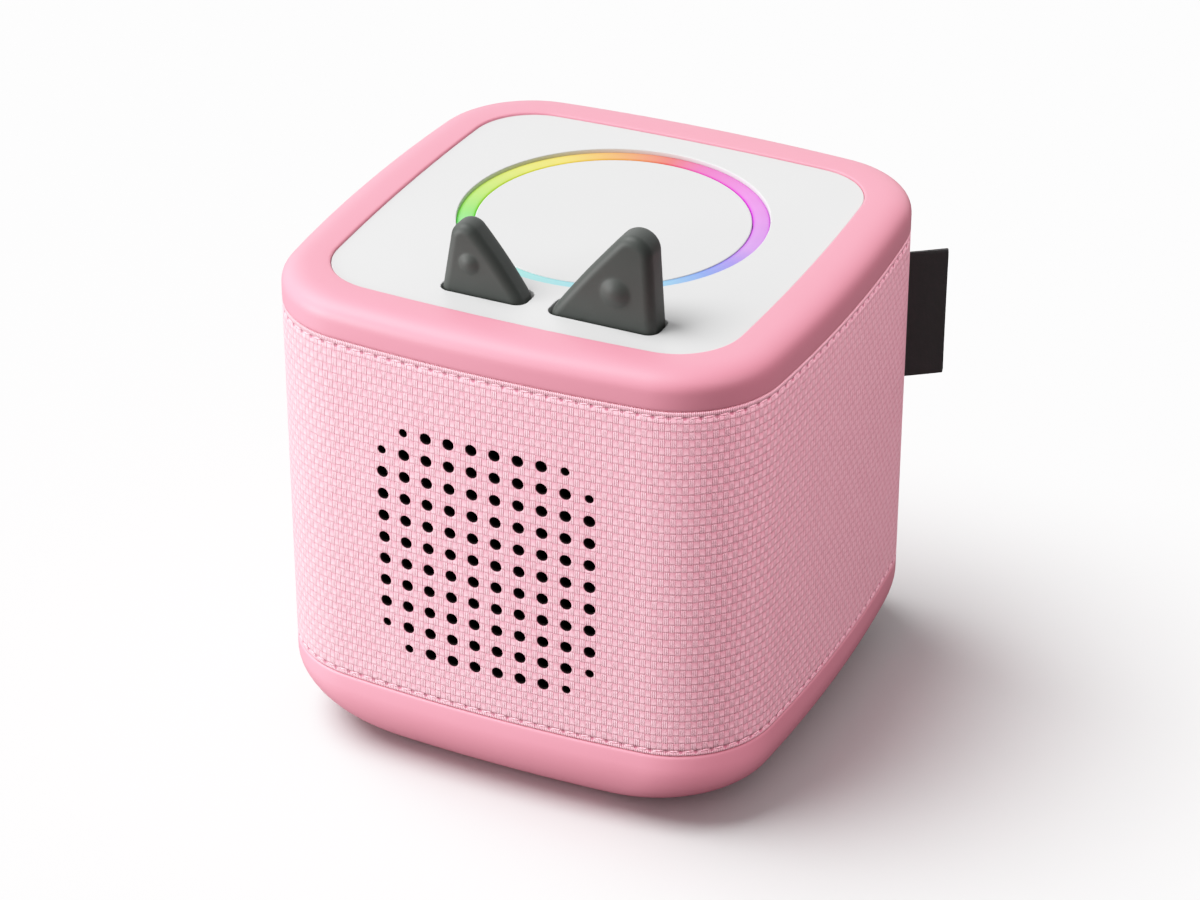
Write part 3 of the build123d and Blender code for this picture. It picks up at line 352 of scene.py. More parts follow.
grain_group.links.new(grain_noise(grain_in["Grain Size"], 3.0, Roughness=0.55), grain_out["Height"])
grain_group.links.new(grain_noise(grain_in["Patch Size"], 2.0), grain_out["Patches"])

# %% [markdown]
# Every moulded finish is then one row of numbers: a deep and a light colour that drift into each other, the
# sizes of grain and patches in millimetres, a roughness and how much it drifts, and the strength and depth of
# the grain's relief. A metal is also metallic, and a dull rubber has less gloss than the usual 0.5.


# %% Moulded finishes
def make_moulded(
    name, deep, light, grain_size, patch_size, roughness, drift, relief, depth, metallic=0.0, gloss=0.5
):
    """Make a moulded finish from its row of numbers."""
    material, tree, shader = new_finish(name)
    grain = use_group(tree, grain_group, Grain_Size=grain_size, Patch_Size=patch_size)
    fill_inputs(
        tree,
        shader,
        Base_Color=mix_colours(tree, grain["Patches"], screen_colour(*deep), screen_colour(*light)),
        Roughness=calc(tree, "MULTIPLY_ADD", grain["Patches"], drift, roughness),
        Normal=add_bump(tree, grain["Height"], relief, depth),
        Metallic=metallic,
        Specular_IOR_Level=gloss,
    )
    return material


# %% [markdown]
# ## Shared effect: woven threads
#
# The cover is a coarse basket weave, a checkerboard of two kinds of block. In one kind three upright strands
# lie on top, side by side. In the other the crossing yarns lie on top and puff out over the row below, so each
# has a shadow line along its upper edge. The label and the dust screen are much finer weaves of the same kind.
# The group draws the blocks in a flat map of the cloth, measured in millimetres along and up, so the weave
# follows the cover round its corners without stretching.
#
# Each kind of block is a rounded bump whose width is counted from the middle of the nearest such block. The
# height is the larger of the two. Every block also gets its own small random shade.

# %% Group: woven threads
weave_group, weave_in, weave_out = new_group(
    "woven threads",
    {"Along": 0.0, "Up": 0.0, "Block Width": 1.26, "Block Height": 1.9, "Strands": 3.0},
    ("Height", "Shade"),
)
weave = partial(calc, weave_group)


def hump(distance, half, power):
    """Return a rounded bump that falls from 1 in the middle to 0 at half its width."""
    fall = weave("POWER", weave("DIVIDE", distance, half), power)
    return weave("MAXIMUM", weave("SUBTRACT", 1.0, fall), 0.0)


across = weave("DIVIDE", weave_in["Along"], weave_in["Block Width"])
upward = weave("DIVIDE", weave_in["Up"], weave_in["Block Height"])
row = weave("FLOOR", upward)
in_row = weave("FRACT", upward)
pair = weave("MULTIPLY_ADD", weave("ADD", across, row), 0.5, 0.25)
from_middle = weave("SUBTRACT", weave("FRACT", pair), 0.5)
from_upright = weave("MULTIPLY", weave("ABSOLUTE", from_middle), 2.0)
from_crossing = weave("SUBTRACT", 1.0, from_upright)
strand_turn = weave("MULTIPLY", weave("MULTIPLY", across, weave_in["Strands"]), math.pi)
strand = weave("ABSOLUTE", weave("SINE", strand_turn))

# %% [markdown]
# An upright block bows down towards both its ends, where it dives under a crossing one, and its strands are
# deeply parted. A crossing block rises quickly from a lip along its row's lower edge and sags slowly above it,
# and its strands hardly show.

# %% Relief of the two kinds of block
upright_half = 0.6
crossing_half = 0.56
block_power = 5.0
lip_width = 0.2

from_row_middle = weave("ABSOLUTE", weave("SUBTRACT", in_row, 0.5))
bow = weave("MULTIPLY_ADD", hump(from_row_middle, 0.55, 3.0), 0.5, 0.5)
upright = weave("MULTIPLY", hump(from_upright, upright_half, block_power), bow)
upright = weave("MULTIPLY", upright, weave("MULTIPLY_ADD", strand, 0.55, 0.45))
sag = weave("POWER", weave("SUBTRACT", 1.0, in_row), 1.3)
lip = weave("MINIMUM", weave("DIVIDE", in_row, lip_width), 1.0)
puff = weave("MULTIPLY_ADD", weave("MULTIPLY", sag, lip), 0.5, 0.38)
crossing = weave("MULTIPLY", hump(from_crossing, crossing_half, block_power), puff)
crossing = weave("MULTIPLY", crossing, weave("MULTIPLY_ADD", strand, 0.12, 0.88))
block_place = add_node(weave_group, "ShaderNodeCombineXYZ", X=weave("FLOOR", across), Y=row)
block_shade = add_node(weave_group, "ShaderNodeTexWhiteNoise", Vector=block_place.outputs[0])
weave_group.links.new(weave("MAXIMUM", upright, crossing), weave_out["Height"])
weave_group.links.new(block_shade.outputs["Value"], weave_out["Shade"])

# %% [markdown]
# ## Cover fabric
#
# The cover's threads are pale rose. The gaps between the bundles get a deeper pink, painted shade for the
# light that reaches them twice reddened. The finish mixes the two by the weave's height. In the hem
# between a stitch line and its seam the cloth is folded and shows fine upright ribs instead. Each needle hole
# is a dimple at an even pitch with painted shade in it, and a thin line of painted shade runs along the crease
# where the cloth tucks in behind the base. A little sheen stands for the fluff of the yarn, and an attribute on
# the mesh paints the cut edges of the holes nearly black as painted shade.

# %% Finish: cover fabric
stitch_inset = 1.4
stitch_count = 126
stitch_pitch = cube.length / stitch_count
rib_pitch = 0.42
rib_reach = 1.1
needle_reach = 0.6
needle_core = 0.25
# Width of the line of painted shade along the crease above the base:
crease_shade_reach = 0.42
crease_shade_core = 0.12
relief_depth = 0.31
wobble_scale = 160.0
wobble_reach = 0.3


def cloth_map(tree, map_name):
    """Return the along and up distances, in millimetres, from a cloth's flat map, slightly uneven."""
    flat = add_node(tree, "ShaderNodeUVMap", {"uv_map": map_name}).outputs[0]
    wobble = add_node(tree, "ShaderNodeTexNoise", {"noise_dimensions": "2D"}, Vector=flat, Scale=wobble_scale)
    parts = add_node(tree, "ShaderNodeSeparateXYZ", Vector=flat)
    sway = add_node(tree, "ShaderNodeSeparateXYZ", Vector=wobble.outputs["Color"])
    ways = []
    for axis in ("X", "Y"):
        shift = calc(tree, "MULTIPLY", sway.outputs[axis], wobble_reach)
        ways.append(calc(tree, "MULTIPLY_ADD", parts.outputs[axis], 1 / MM, shift))
    return ways


def make_cover_fabric():
    """Pale rose basket weave with ribbed hems, needle holes, and painted shade in gaps, holes and crease."""
    material, tree, shader = new_finish("cover fabric")
    do = partial(calc, tree)
    along, up = cloth_map(tree, "cloth")
    cloth = use_group(tree, weave_group, Along=along, Up=up)
    grain = use_group(tree, grain_group, Grain_Size=0.22, Patch_Size=30.0)
    from_base = do("SUBTRACT", up, base_seam)
    from_seam = do("MINIMUM", from_base, do("SUBTRACT", rim_seam, up))

    hem = do("LESS_THAN", from_seam, rib_reach)
    rib = do("ABSOLUTE", do("SINE", do("MULTIPLY", along, math.pi / rib_pitch)))
    in_hem = do("MULTIPLY", hem, do("MULTIPLY_ADD", rib, 0.6, 0.25))
    relief = do("ADD", in_hem, do("MULTIPLY", do("SUBTRACT", 1.0, hem), cloth["Height"]))

    # Painted shade: each needle hole is a dark rose spot in the colour, and also a small dent in the bump.
    needle = do("SUBTRACT", do("FRACT", do("DIVIDE", along, stitch_pitch)), 0.5)
    beside = do("POWER", do("MULTIPLY", needle, stitch_pitch), 2.0)
    above = do("POWER", do("SUBTRACT", from_seam, stitch_inset), 2.0)
    pierced = spread(tree, do("SQRT", do("ADD", beside, above)), needle_reach, needle_core, 0.0, 0.7)

    colour = mix_colours(tree, cloth["Shade"], screen_colour(249, 193, 205), screen_colour(252, 200, 211))
    # Painted shade: the weave's low places, the needle holes, the crease above the base and the walls of the
    # holes are mixed towards darker colours.
    painted_shade_mixes = [
        (do("POWER", do("SUBTRACT", 1.0, relief), 2.0), (205, 80, 112)),
        (pierced, (165, 74, 100)),
        (spread(tree, from_base, crease_shade_reach, crease_shade_core, 0.0, 0.85), (96, 34, 48)),
        (add_node(tree, "ShaderNodeAttribute", {"attribute_name": "dark"}).outputs["Fac"], (9, 7, 5)),
    ]
    for share, shade in painted_shade_mixes:
        colour = mix_colours(tree, share, colour, screen_colour(*shade))
    fluff = do("MULTIPLY_ADD", grain["Height"], 0.3, relief)
    height = do("SUBTRACT", fluff, do("MULTIPLY", pierced, 0.8))
    fill_inputs(
        tree,
        shader,
        Base_Color=colour,
        Normal=add_bump(tree, height, 1.0, relief_depth),
        Roughness=0.85,
        Specular_IOR_Level=0.12,
        Sheen_Weight=0.04,
        Sheen_Roughness=0.45,
        Sheen_Tint=screen_colour(255, 188, 202),
    )
    return material


cover_fabric = make_cover_fabric()

# %% [markdown]
# ## The cover
#
# The cover could be the plain solid with a picture of holes on it, but the holes are what a hand and a
# low light find first. So the cover is laid out flat as a grid of small quads, and every grille cell of that
# grid gets a round hole of its own, with the cell's square border walked by as many points as the circle.
# The flat layout is then wrapped round the cube by the outline, which also gives each corner of each quad its
# place in the cloth map.
#
# Near each seam the fabric dips along its line of stitches and turns inwards behind the silicone, further at
# the base, where the gap shows as a dark line. A depth function holds all of that.

# %% Cover layout
hole_pitch = 5.5
hole_columns = 10
hole_rows = 11
grille_height = 61.0
hole_radius = 1.36
small_hole_radius = 1.0
cell_steps = 6
fine_step = hole_pitch / cell_steps
tuck_behind_base = 1.4
tuck_behind_rim = 0.75
dip_depth = 0.2
dip_width = 0.4
turn_depth = 0.65
turn_width = 0.35
base_gap_depth = 0.75
base_gap_width = 0.5
label_dip_depth = 0.55
label_dip_width = 0.7

seam_angle = math.radians(36.0)
seam_along = cube.side * 1.5 + cube.turn + (seam_angle - cube.side_angle) * corner_radius


def cover_depth(up):
    """Return how far the cover lies inside the cube's outline at a height."""
    edge = min(up - base_seam, rim_seam - up)
    if edge < 0:
        return tuck_behind_base if up < base_seam else tuck_behind_rim
    dip = dip_depth * math.exp(-(((edge - stitch_inset) / dip_width) ** 2))
    turn = turn_depth * max(0.0, 1.0 - edge / turn_width) ** 2
    if up - base_seam < base_gap_width:
        turn += base_gap_depth * max(0.0, 1.0 - edge / base_gap_width) ** 2
    return dip + turn


def seam_dip(along):
    """Return how far the upright seam at the label pulls the cover in."""
    away = min(abs(along - seam_along), abs(along - seam_along + cube.length))
    return label_dip_depth * math.exp(-((away / label_dip_width) ** 2))


def cover_point(along, up, extra=0.0):
    """Wrap a point of the flat layout round the cube."""
    spot, out = cube.at(along)
    spot = spot - out * (cover_depth(up) + seam_dip(along) + extra)
    return Vector((spot.x, spot.y, up))


# %% [markdown]
# The layout's columns and rows are even, except in the hems, where rows crowd together to round the fold.

# %% Cover rows and columns
grille_left = -hole_columns / 2 * hole_pitch
grille_bottom = grille_height - hole_rows / 2 * hole_pitch
grille_top = grille_bottom + hole_rows * hole_pitch


def even_steps(start, end, step):
    """Return evenly spread values from start up to, but without, end."""
    count = max(1, round((end - start) / step))
    return [start + (end - start) * index / count for index in range(count)]


hem_rows = [-1.3, -0.45, -0.1, 0.06, 0.15, 0.25, 0.36, 0.6, 0.85, 1.05, 1.22, 1.4, 1.58, 1.78, 2.1, 2.6]
hem_end = 3.3
low_rows = [base_seam + offset for offset in hem_rows]
high_rows = [rim_seam - offset for offset in reversed(hem_rows)]
cover_rows = (
    low_rows
    + even_steps(base_seam + hem_end, grille_bottom, fine_step)
    + even_steps(grille_bottom, grille_top, fine_step)
    + even_steps(grille_top, rim_seam - hem_end, fine_step)
    + [rim_seam - hem_end]
    + high_rows
)
cover_columns = (
    even_steps(seam_along - cube.length, grille_left, fine_step)
    + even_steps(grille_left, -grille_left, fine_step)
    + even_steps(-grille_left, seam_along, fine_step)
)
first_column = cover_columns.index(grille_left)
first_row = cover_rows.index(grille_bottom)

port_height = 34.8
port_straight = 13.65
port_radius = 6.65
port_half_block = (21.9, 8.1)


def nearest(values, wanted):
    """Return the index of the value nearest to the wanted one."""
    return min(range(len(values)), key=lambda index: abs(values[index] - wanted))


port_block = (
    nearest(cover_columns, -cube.length / 2 - port_half_block[0]),
    nearest(cover_rows, port_height - port_half_block[1]),
    *(round(2 * half / fine_step) for half in port_half_block),
)
print(f"cover layout: {len(cover_columns)} columns, {len(cover_rows)} rows")

# %% [markdown]
# A hole is cut by leaving out a block of the grid and filling it with rings, from the block's square border to
# the hole's lip, and from the lip down to the cut edge. Each ring has one point for each point of the border,
# on a straight line from the hole's middle, so an oblong hole for the ports works as well as a round one.

# %% Cut one hole
# each row: how far outside the hole's edge, how deep, how dark its painted shade is
hole_lip = [(0.85, 0, 0), (0.2, 0, 0), (0.06, 0.03, 0.1), (0, 0.12, 0.9), (0, 0.3, 1), (-0.05, 1.1, 1)]
port_lip = [(1, 0, 0), (0.35, 0, 0), (0.12, 0.06, 0.1), (0, 0.3, 0.5), (0, 1.1, 0.9)]
halvings = 30


def oblong_reach(x, y, straight, radius):
    """Return how far along the direction (x, y) an oblong with that half straight and end radius reaches."""
    low, high = 0.0, straight + radius
    for _ in range(halvings):
        middle = (low + high) / 2
        past_straight = max(0.0, abs(x) * middle - straight)
        if math.hypot(past_straight, y * middle) < radius:
            low = middle
        else:
            high = middle
    return low


def cut_hole(add_point, width, block, straight, radius, lip):
    """Fill a block of the grid, given as column, row, columns and rows, with rings round a hole."""
    column, row, columns, rows = block
    border = [(column + step, row) for step in range(columns)]
    border += [(column + columns, row + step) for step in range(rows)]
    border += [(column + columns - step, row + rows) for step in range(columns)]
    border += [(column, row + rows - step) for step in range(rows)]
    middle_along = (cover_columns[column] + cover_columns[column + columns]) / 2
    middle_up = (cover_rows[row] + cover_rows[row + rows]) / 2
    rays = []
    for at_column, at_row in border:
        ray = Vector((cover_columns[at_column] - middle_along, cover_rows[at_row] - middle_up))
        rays.append(ray.normalized())
    ring = [at_row * width + at_column for at_column, at_row in border]
    faces = []
    for wider, deeper, dark in lip:
        inner = []
        for ray in rays:
            spot = ray * oblong_reach(ray.x, ray.y, straight, radius + wider)
            inner.append(add_point(middle_along + spot.x, middle_up + spot.y, deeper, dark))
        for index in range(len(ring)):
            after = (index + 1) % len(ring)
            faces.append((ring[index], ring[after], inner[after], inner[index]))
        ring = inner
    return faces


# %% [markdown]
# The grille is a plain block of holes that leaves out its four corners and has smaller holes beside them. At
# the back, one oblong hole lets the bezel of the ports through.


# %% Build the cover
def hole_size(column, row):
    """Return a grille cell's hole radius, or nothing where the grille has no hole."""
    steps = min(column, hole_columns - 1 - column) + min(row, hole_rows - 1 - row)
    if steps == 0:
        return None
    return small_hole_radius if steps == 1 else hole_radius


def make_cover():
    """Build the cover with its grille and its port hole as one sheet."""
    width = len(cover_columns)
    points = []
    flat = []
    hole_wall_shade = []

    def add_point(along, up, extra=0.0, dark=0.0):
        points.append(cover_point(along, up, extra))
        flat.append((along, up))
        hole_wall_shade.append(dark)
        return len(points) - 1

    for up in cover_rows:
        for along in cover_columns:
            add_point(along, up)
    holes = []
    for column in range(hole_columns):
        for row in range(hole_rows):
            if hole_size(column, row):
                corner = (first_column + column * cell_steps, first_row + row * cell_steps)
                block = (*corner, cell_steps, cell_steps)
                holes.append((block, 0.0, hole_size(column, row), hole_lip))
    holes.append((port_block, port_straight, port_radius, port_lip))
    left_out = set()
    faces = []
    for block, straight, radius, lip in holes:
        column, row, columns, rows = block
        left_out.update((column + x, row + y) for x in range(columns) for y in range(rows))
        faces += cut_hole(add_point, width, block, straight, radius, lip)
    for row in range(len(cover_rows) - 1):
        for column in range(width):
            if (column, row) not in left_out:
                after = (column + 1) % width
                low, high = row * width, (row + 1) * width
                faces.append((low + column, low + after, high + after, high + column))
    piece = make_piece("cover", points, faces, stands_for=["fabric_cover"], finish="cover_fabric")
    cloth = piece.data.uv_layers.new(name="cloth")
    for face in piece.data.polygons:
        corners = [piece.data.loops[loop].vertex_index for loop in face.loop_indices]
        wraps = max(flat[corner][0] for corner in corners) - min(flat[corner][0] for corner in corners) > 50
        for loop, corner in zip(face.loop_indices, corners):
            along, up = flat[corner]
            if wraps and along < 0:
                along += cube.length
            cloth.data[loop].uv = (along * MM, up * MM)
    # Painted shade: this attribute paints the walls of the holes nearly black.
    dark = piece.data.attributes.new("dark", "FLOAT", "POINT")
    dark.data.foreach_set("value", hole_wall_shade)
    drop_loose_points(piece)
    piece.data.materials.append(cover_fabric)
    print(f"cover: {len(piece.data.vertices)} points, {len(holes)} holes")
    return piece


cover = make_cover()

# %% [markdown]
# ## Stitches
#
# One line of lock stitches runs beside each seam. On the real cover each stitch is a short length of pale
# thread that comes out of one needle hole and dives into the next, leaning a little to one side. A painted
# line would look flat in a raking light, so every stitch is a small bent tube that lies in the cover's dip. The
# pitch divides the way round the cube evenly.

# %% Build the stitches
stitch_half = 1.3
stitch_lean = 0.12
stitch_dive = 0.3
stitch_shift = 0.12
lean_spread = 0.08
thread_radius = 0.23
thread_flatness = 0.8
tube_rings = 9
tube_sides = 8


def make_thread():
    """Twisted sewing thread, close to the cover in colour."""
    material, tree, shader = new_finish("sewing thread")
    twist = add_node(
        tree,
        "ShaderNodeTexWave",
        {"bands_direction": "DIAGONAL"},
        Vector=object_place(tree),
        Scale=520.0,
        Distortion=1.5,
    )
    strands = twist.outputs["Fac"]
    # Painted shade: the grooves between the twisted plies are a deeper pink.
    colour = mix_colours(tree, strands, screen_colour(230, 158, 174), screen_colour(250, 192, 205))
    fill_inputs(tree, shader, Base_Color=colour, Normal=add_bump(tree, strands, 0.6, 0.08), Roughness=0.6)
    return material


thread = make_thread()


def make_stitches(name, up):
    """Build one line of stitches at a height."""
    points = []
    faces = []
    for index in range(stitch_count):
        middle = index * stitch_pitch + rng.uniform(-stitch_shift, stitch_shift)
        tilt = stitch_lean + rng.uniform(-lean_spread, lean_spread)
        start = len(points)
        for ring in range(tube_rings):
            share = 2 * ring / (tube_rings - 1) - 1
            along = middle + stitch_half * share
            spot, out = cube.at(along)
            centre = spot - out * (cover_depth(up) + stitch_dive * share**4)
            radius = thread_radius * math.sqrt(max(0.06, 1 - 0.9 * share**4))
            for step in range(tube_sides):
                angle = 2 * math.pi * step / tube_sides
                outward = radius * thread_flatness * math.cos(angle)
                upward = radius * math.sin(angle) + tilt * share
                points.append((centre.x + out.x * outward, centre.y + out.y * outward, up + upward))
        for ring in range(tube_rings - 1):
            low = start + ring * tube_sides
            for step in range(tube_sides):
                after = (step + 1) % tube_sides
                faces.append((low + step, low + tube_sides + step, low + tube_sides + after, low + after))
        faces.append(tuple(start + step for step in range(tube_sides)))
        last = start + (tube_rings - 1) * tube_sides
        faces.append(tuple(last + step for step in reversed(range(tube_sides))))
    piece = make_piece(name, points, faces, finish="cover_fabric")
    piece.data.materials.append(thread)
    return piece


upper_stitches = make_stitches("upper_stitches", rim_seam - stitch_inset)
lower_stitches = make_stitches("lower_stitches", base_seam + stitch_inset)
print(f"stitches: {stitch_count} in each line, {stitch_pitch:.2f} mm apart")

# %% [markdown]
# ## Silicone
#
# The rim and the base are moulded from two close shades of the same soft silicone. It is satin and slightly
# cloudy, and it is polished a little smoother in patches, as where fingers rub. The moulded finish gives all of
# that, with less gloss than a hard plastic has.

# %% Finish: silicone
silicone = (0.32, 26.0, 0.43, 0.1, 0.35, 0.06, 0.0, 0.4)
rim_silicone = make_moulded("rim silicone", (223, 136, 154), (228, 143, 161), *silicone)
base_silicone = make_moulded("base silicone", (228, 144, 161), (233, 151, 168), *silicone)

# %% [markdown]
# ## Rim and base
#
# Both are closed rings round the cube, so each is one stack of outlines joined by quads: in behind the
# fabric, round the lip, up the wall and over the shoulder. The shoulder is a superellipse, which starts more
# gently than a circle and gives the soft, pillowy edge that a plain rounding lacks.

# %% Shoulder curve
side_steps = 22
corner_steps = 20


def superellipse(width, height, power, steps):
    """Return (inset, drop) pairs from the wall to the flat."""
    pairs = []
    for step in range(steps + 1):
        angle = math.pi / 2 * step / steps
        inset = width * (1 - max(0.0, math.cos(angle)) ** (2 / power))
        drop = height * (1 - math.sin(angle) ** (2 / power))
        pairs.append((inset, drop))
    return pairs


def outline_ring(half, corner, bow, height):
    """Return one closed ring of points at a height."""
    return [(spot.x, spot.y, height) for spot, _ in Outline(half, corner, bow).ring(side_steps, corner_steps)]


def inset_ring(inset, height):
    """Return the cube's own outline, moved in evenly."""
    return outline_ring(half_width - inset, corner_radius - inset, side_bow - inset, height)


# %% Build the rim
rim_round = (7.2, 4.7, 2.55)
rim_top_corner = 17.2
plate_half = 49.0
plate_corner = 15.0
plate_bow = 594.0
inner_inset = 5.9
rim_depth = 3.2
lip_rise = 1.4
seam_lip = [(1.2, 1.4), (1.2, 0.3), (1.05, 0.1), (0.8, 0.0), (0.5, 0.0), (0.22, 0.06), (0.05, 0.25), (0.0, 0.6)]
plate_lip = [(2.6, 0.0), (0.75, 0.0), (0.45, 0.03), (0.22, 0.12), (0.1, 0.3), (0.1, 1.0), (0.1, 3.9)]


def plate_ring(grow, height):
    """Return the top plate's outline, moved out evenly."""
    return outline_ring(plate_half + grow, plate_corner + grow, plate_bow + grow, height)


def make_rim():
    """Build the soft rim as one closed ring."""
    rings = [inset_ring(inset, rim_seam + rise) for inset, rise in [*seam_lip, (0.0, lip_rise)]]
    width, height, _ = rim_round
    for inset, drop in superellipse(*rim_round, 14):
        tightened = (corner_radius - rim_top_corner) * inset / width
        rings.append(outline_ring(half_width - inset, corner_radius - tightened, side_bow, rim_top - drop))
    rings += [plate_ring(grow, rim_top - drop) for grow, drop in plate_lip]
    rings += [inset_ring(inner_inset, rim_seam + rise) for rise in (rim_depth, lip_rise)]
    piece = make_piece("rim", *joined_rings(rings, close=True), stands_for=["top_rim"], finish="soft_trim")
    piece.data.materials.append(rim_silicone)
    return piece


rim = make_rim()
print(f"rim: {len(rim.data.polygons)} faces")

# %% Build the base
base_round = (15.1, 17.6, 1.73)
base_bottom_corner = 29.9
foot_half = 45.0
foot_corner = 24.0
foot_thick = 2.5
pocket_floor = 8.0
opening_half = 40.0
opening_corner = 22.0
opening_lip = [(0.0, foot_thick), (0.0, 0.4), (0.12, 0.12), (0.4, 0.0)]


def make_base():
    """Build the soft base as one closed ring with a pocket for the housing."""
    width, height, _ = base_round
    rings = []
    for inset, drop in reversed(superellipse(*base_round, 16)):
        grown = (base_bottom_corner - corner_radius) * inset / width
        rings.append(outline_ring(half_width - inset, corner_radius + grown, side_bow, drop))
    rings += [inset_ring(inset, base_seam - drop) for inset, drop in [(0.0, 1.2), *reversed(seam_lip)]]
    rings += [inset_ring(inner_inset, height) for height in (base_seam - lip_rise, pocket_floor)]
    rings.append(outline_ring(foot_half, foot_corner, side_bow, foot_thick))
    for grow, height in opening_lip:
        rings.append(outline_ring(opening_half + grow, opening_corner + grow, side_bow, height))
    piece = make_piece("base", *joined_rings(rings, close=True), stands_for=["base_bumper"], finish="soft_trim")
    piece.data.materials.append(base_silicone)
    return piece


base = make_base()
print(f"base: {len(base.data.polygons)} faces")

# %% [markdown]
# ## White plate
#
# The plate is a flat moulding with a big round opening and two ear slots. A filled flat curve suits it: each
# outline is one closed spline, the holes come by themselves, and the curve's bevel rounds every edge alike.
# The result is turned into a mesh, with creases only where faces meet at a real corner.

# %% Finish: white plastic
dark_white = (211, 211, 211)
light_white = (217, 217, 217)
plate_white = make_moulded("plate white", dark_white, light_white, 0.25, 40.0, 0.42, 0.08, 0.2, 0.03)
disc_white = make_moulded("disc white", dark_white, light_white, 0.4, 40.0, 0.5, 0.08, 0.2, 0.03)

# %% Build the plate
dock_y = 6.0
dock_radius = 35.0
plate_thick = 2.2
plate_edge = 0.22
slot_gap = 0.5
ear_round = 2.1
foot_slice = 0.5 * MM
sharp_angle = math.radians(40)


def foot_slot(low, high, grow, corner, steps=12):
    """Return the outline of a rectangle with round corners, grown evenly."""
    points = []
    for quarter in range(4):
        across = high[0] - corner if quarter in (0, 3) else low[0] + corner
        back = high[1] - corner if quarter in (0, 1) else low[1] + corner
        for step in range(steps + 1):
            angle = math.pi / 2 * (quarter + step / steps)
            radius = corner + grow
            points.append((across + radius * math.cos(angle), back + radius * math.sin(angle)))
    return points


def round_outline(radius, steps=120):
    """Return a circle about the dock's middle."""
    turns = [2 * math.pi * step / steps for step in range(steps)]
    return [(radius * math.cos(turn), dock_y + radius * math.sin(turn)) for turn in turns]


def make_flat_moulding(name, outlines, bottom, top, edge, stands_for, finish):
    """Fill closed outlines into a flat piece whose edges are all rounded."""
    curve = bpy.data.curves.new(name, "CURVE")
    curve.dimensions = "2D"
    curve.fill_mode = "BOTH"
    curve.extrude = ((top - bottom) / 2 - edge) * MM
    curve.bevel_depth = edge * MM
    curve.bevel_resolution = 3
    curve.offset = -edge * MM
    for outline in outlines:
        spline = curve.splines.new("POLY")
        spline.points.add(len(outline) - 1)
        for point, (x, y) in zip(spline.points, outline):
            point.co = (x * MM, y * MM, 0.0, 1.0)
        spline.use_cyclic_u = True
    shape = bpy.data.objects.new(name, curve)
    mesh = bpy.data.meshes.new_from_object(shape)
    mesh.transform(Matrix.Translation((0.0, 0.0, (top + bottom) / 2 * MM)))
    bpy.data.objects.remove(shape)
    bpy.data.curves.remove(curve)
    mesh.shade_smooth()
    mesh.set_sharp_from_angle(angle=sharp_angle)
    return place_piece(name, mesh, stands_for=stands_for, finish=finish)


def ear_foot(node):
    """Return the oblong foot of an ear at the height of the plate, as a box in millimetres."""
    low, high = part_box(node)
    foot = [point.co for point in nodes[node].data.vertices if point.co.z < low[2] + foot_slice]
    front = min(point.y for point in foot) / MM
    back = max(point.y for point in foot) / MM
    return (low[0] / MM, front), (high[0] / MM, back)


plate_outline = [point[:2] for point in plate_ring(0.0, 0.0)]
slots = [foot_slot(*ear_foot(node), slot_gap, ear_round) for node in ("small_ear_skin", "large_ear_skin")]
outlines = [plate_outline, round_outline(dock_radius), *slots]
plate_bottom = plate_top - plate_thick
plate = make_flat_moulding("plate", outlines, plate_bottom, plate_top, plate_edge, ["top_plate"], "plate_white")
plate.data.materials.append(plate_white)
print(f"plate: {len(plate.data.polygons)} faces")

# %% [markdown]
# ## Light ring
#
# The ring is a milky plastic channel over a circle of coloured lamps, and it lies a little lower than the
# plate. A profile of radius and height pairs is spun about the dock's middle.
#
# Its colours run once through the rainbow. The angle about the dock's middle, from an arctangent, looks up a
# colour ramp. That colour glows, and at less than half its brightness it is also the body colour, so the ring
# stays saturated under bright lamps. Its edges are a little deeper than its crown, as in any diffuser that is
# lit from below.

# %% Finish: ring diffuser
# each row: degrees round the dock from the right, red, green, blue
ring_hues = [
    (0, 212, 153, 243),
    (45, 241, 142, 234),
    (75, 244, 121, 194),
    (92, 242, 123, 119),
    (120, 254, 192, 112),
    (138, 251, 232, 120),
    (180, 192, 242, 119),
    (198, 150, 240, 122),
    (232, 150, 232, 205),
    (262, 166, 232, 232),
    (312, 150, 206, 240),
    (332, 133, 160, 243),
    (346, 161, 144, 242),
    (360, 212, 153, 243),
]


ring_middle = 33.0
ring_edge_scale = 0.53


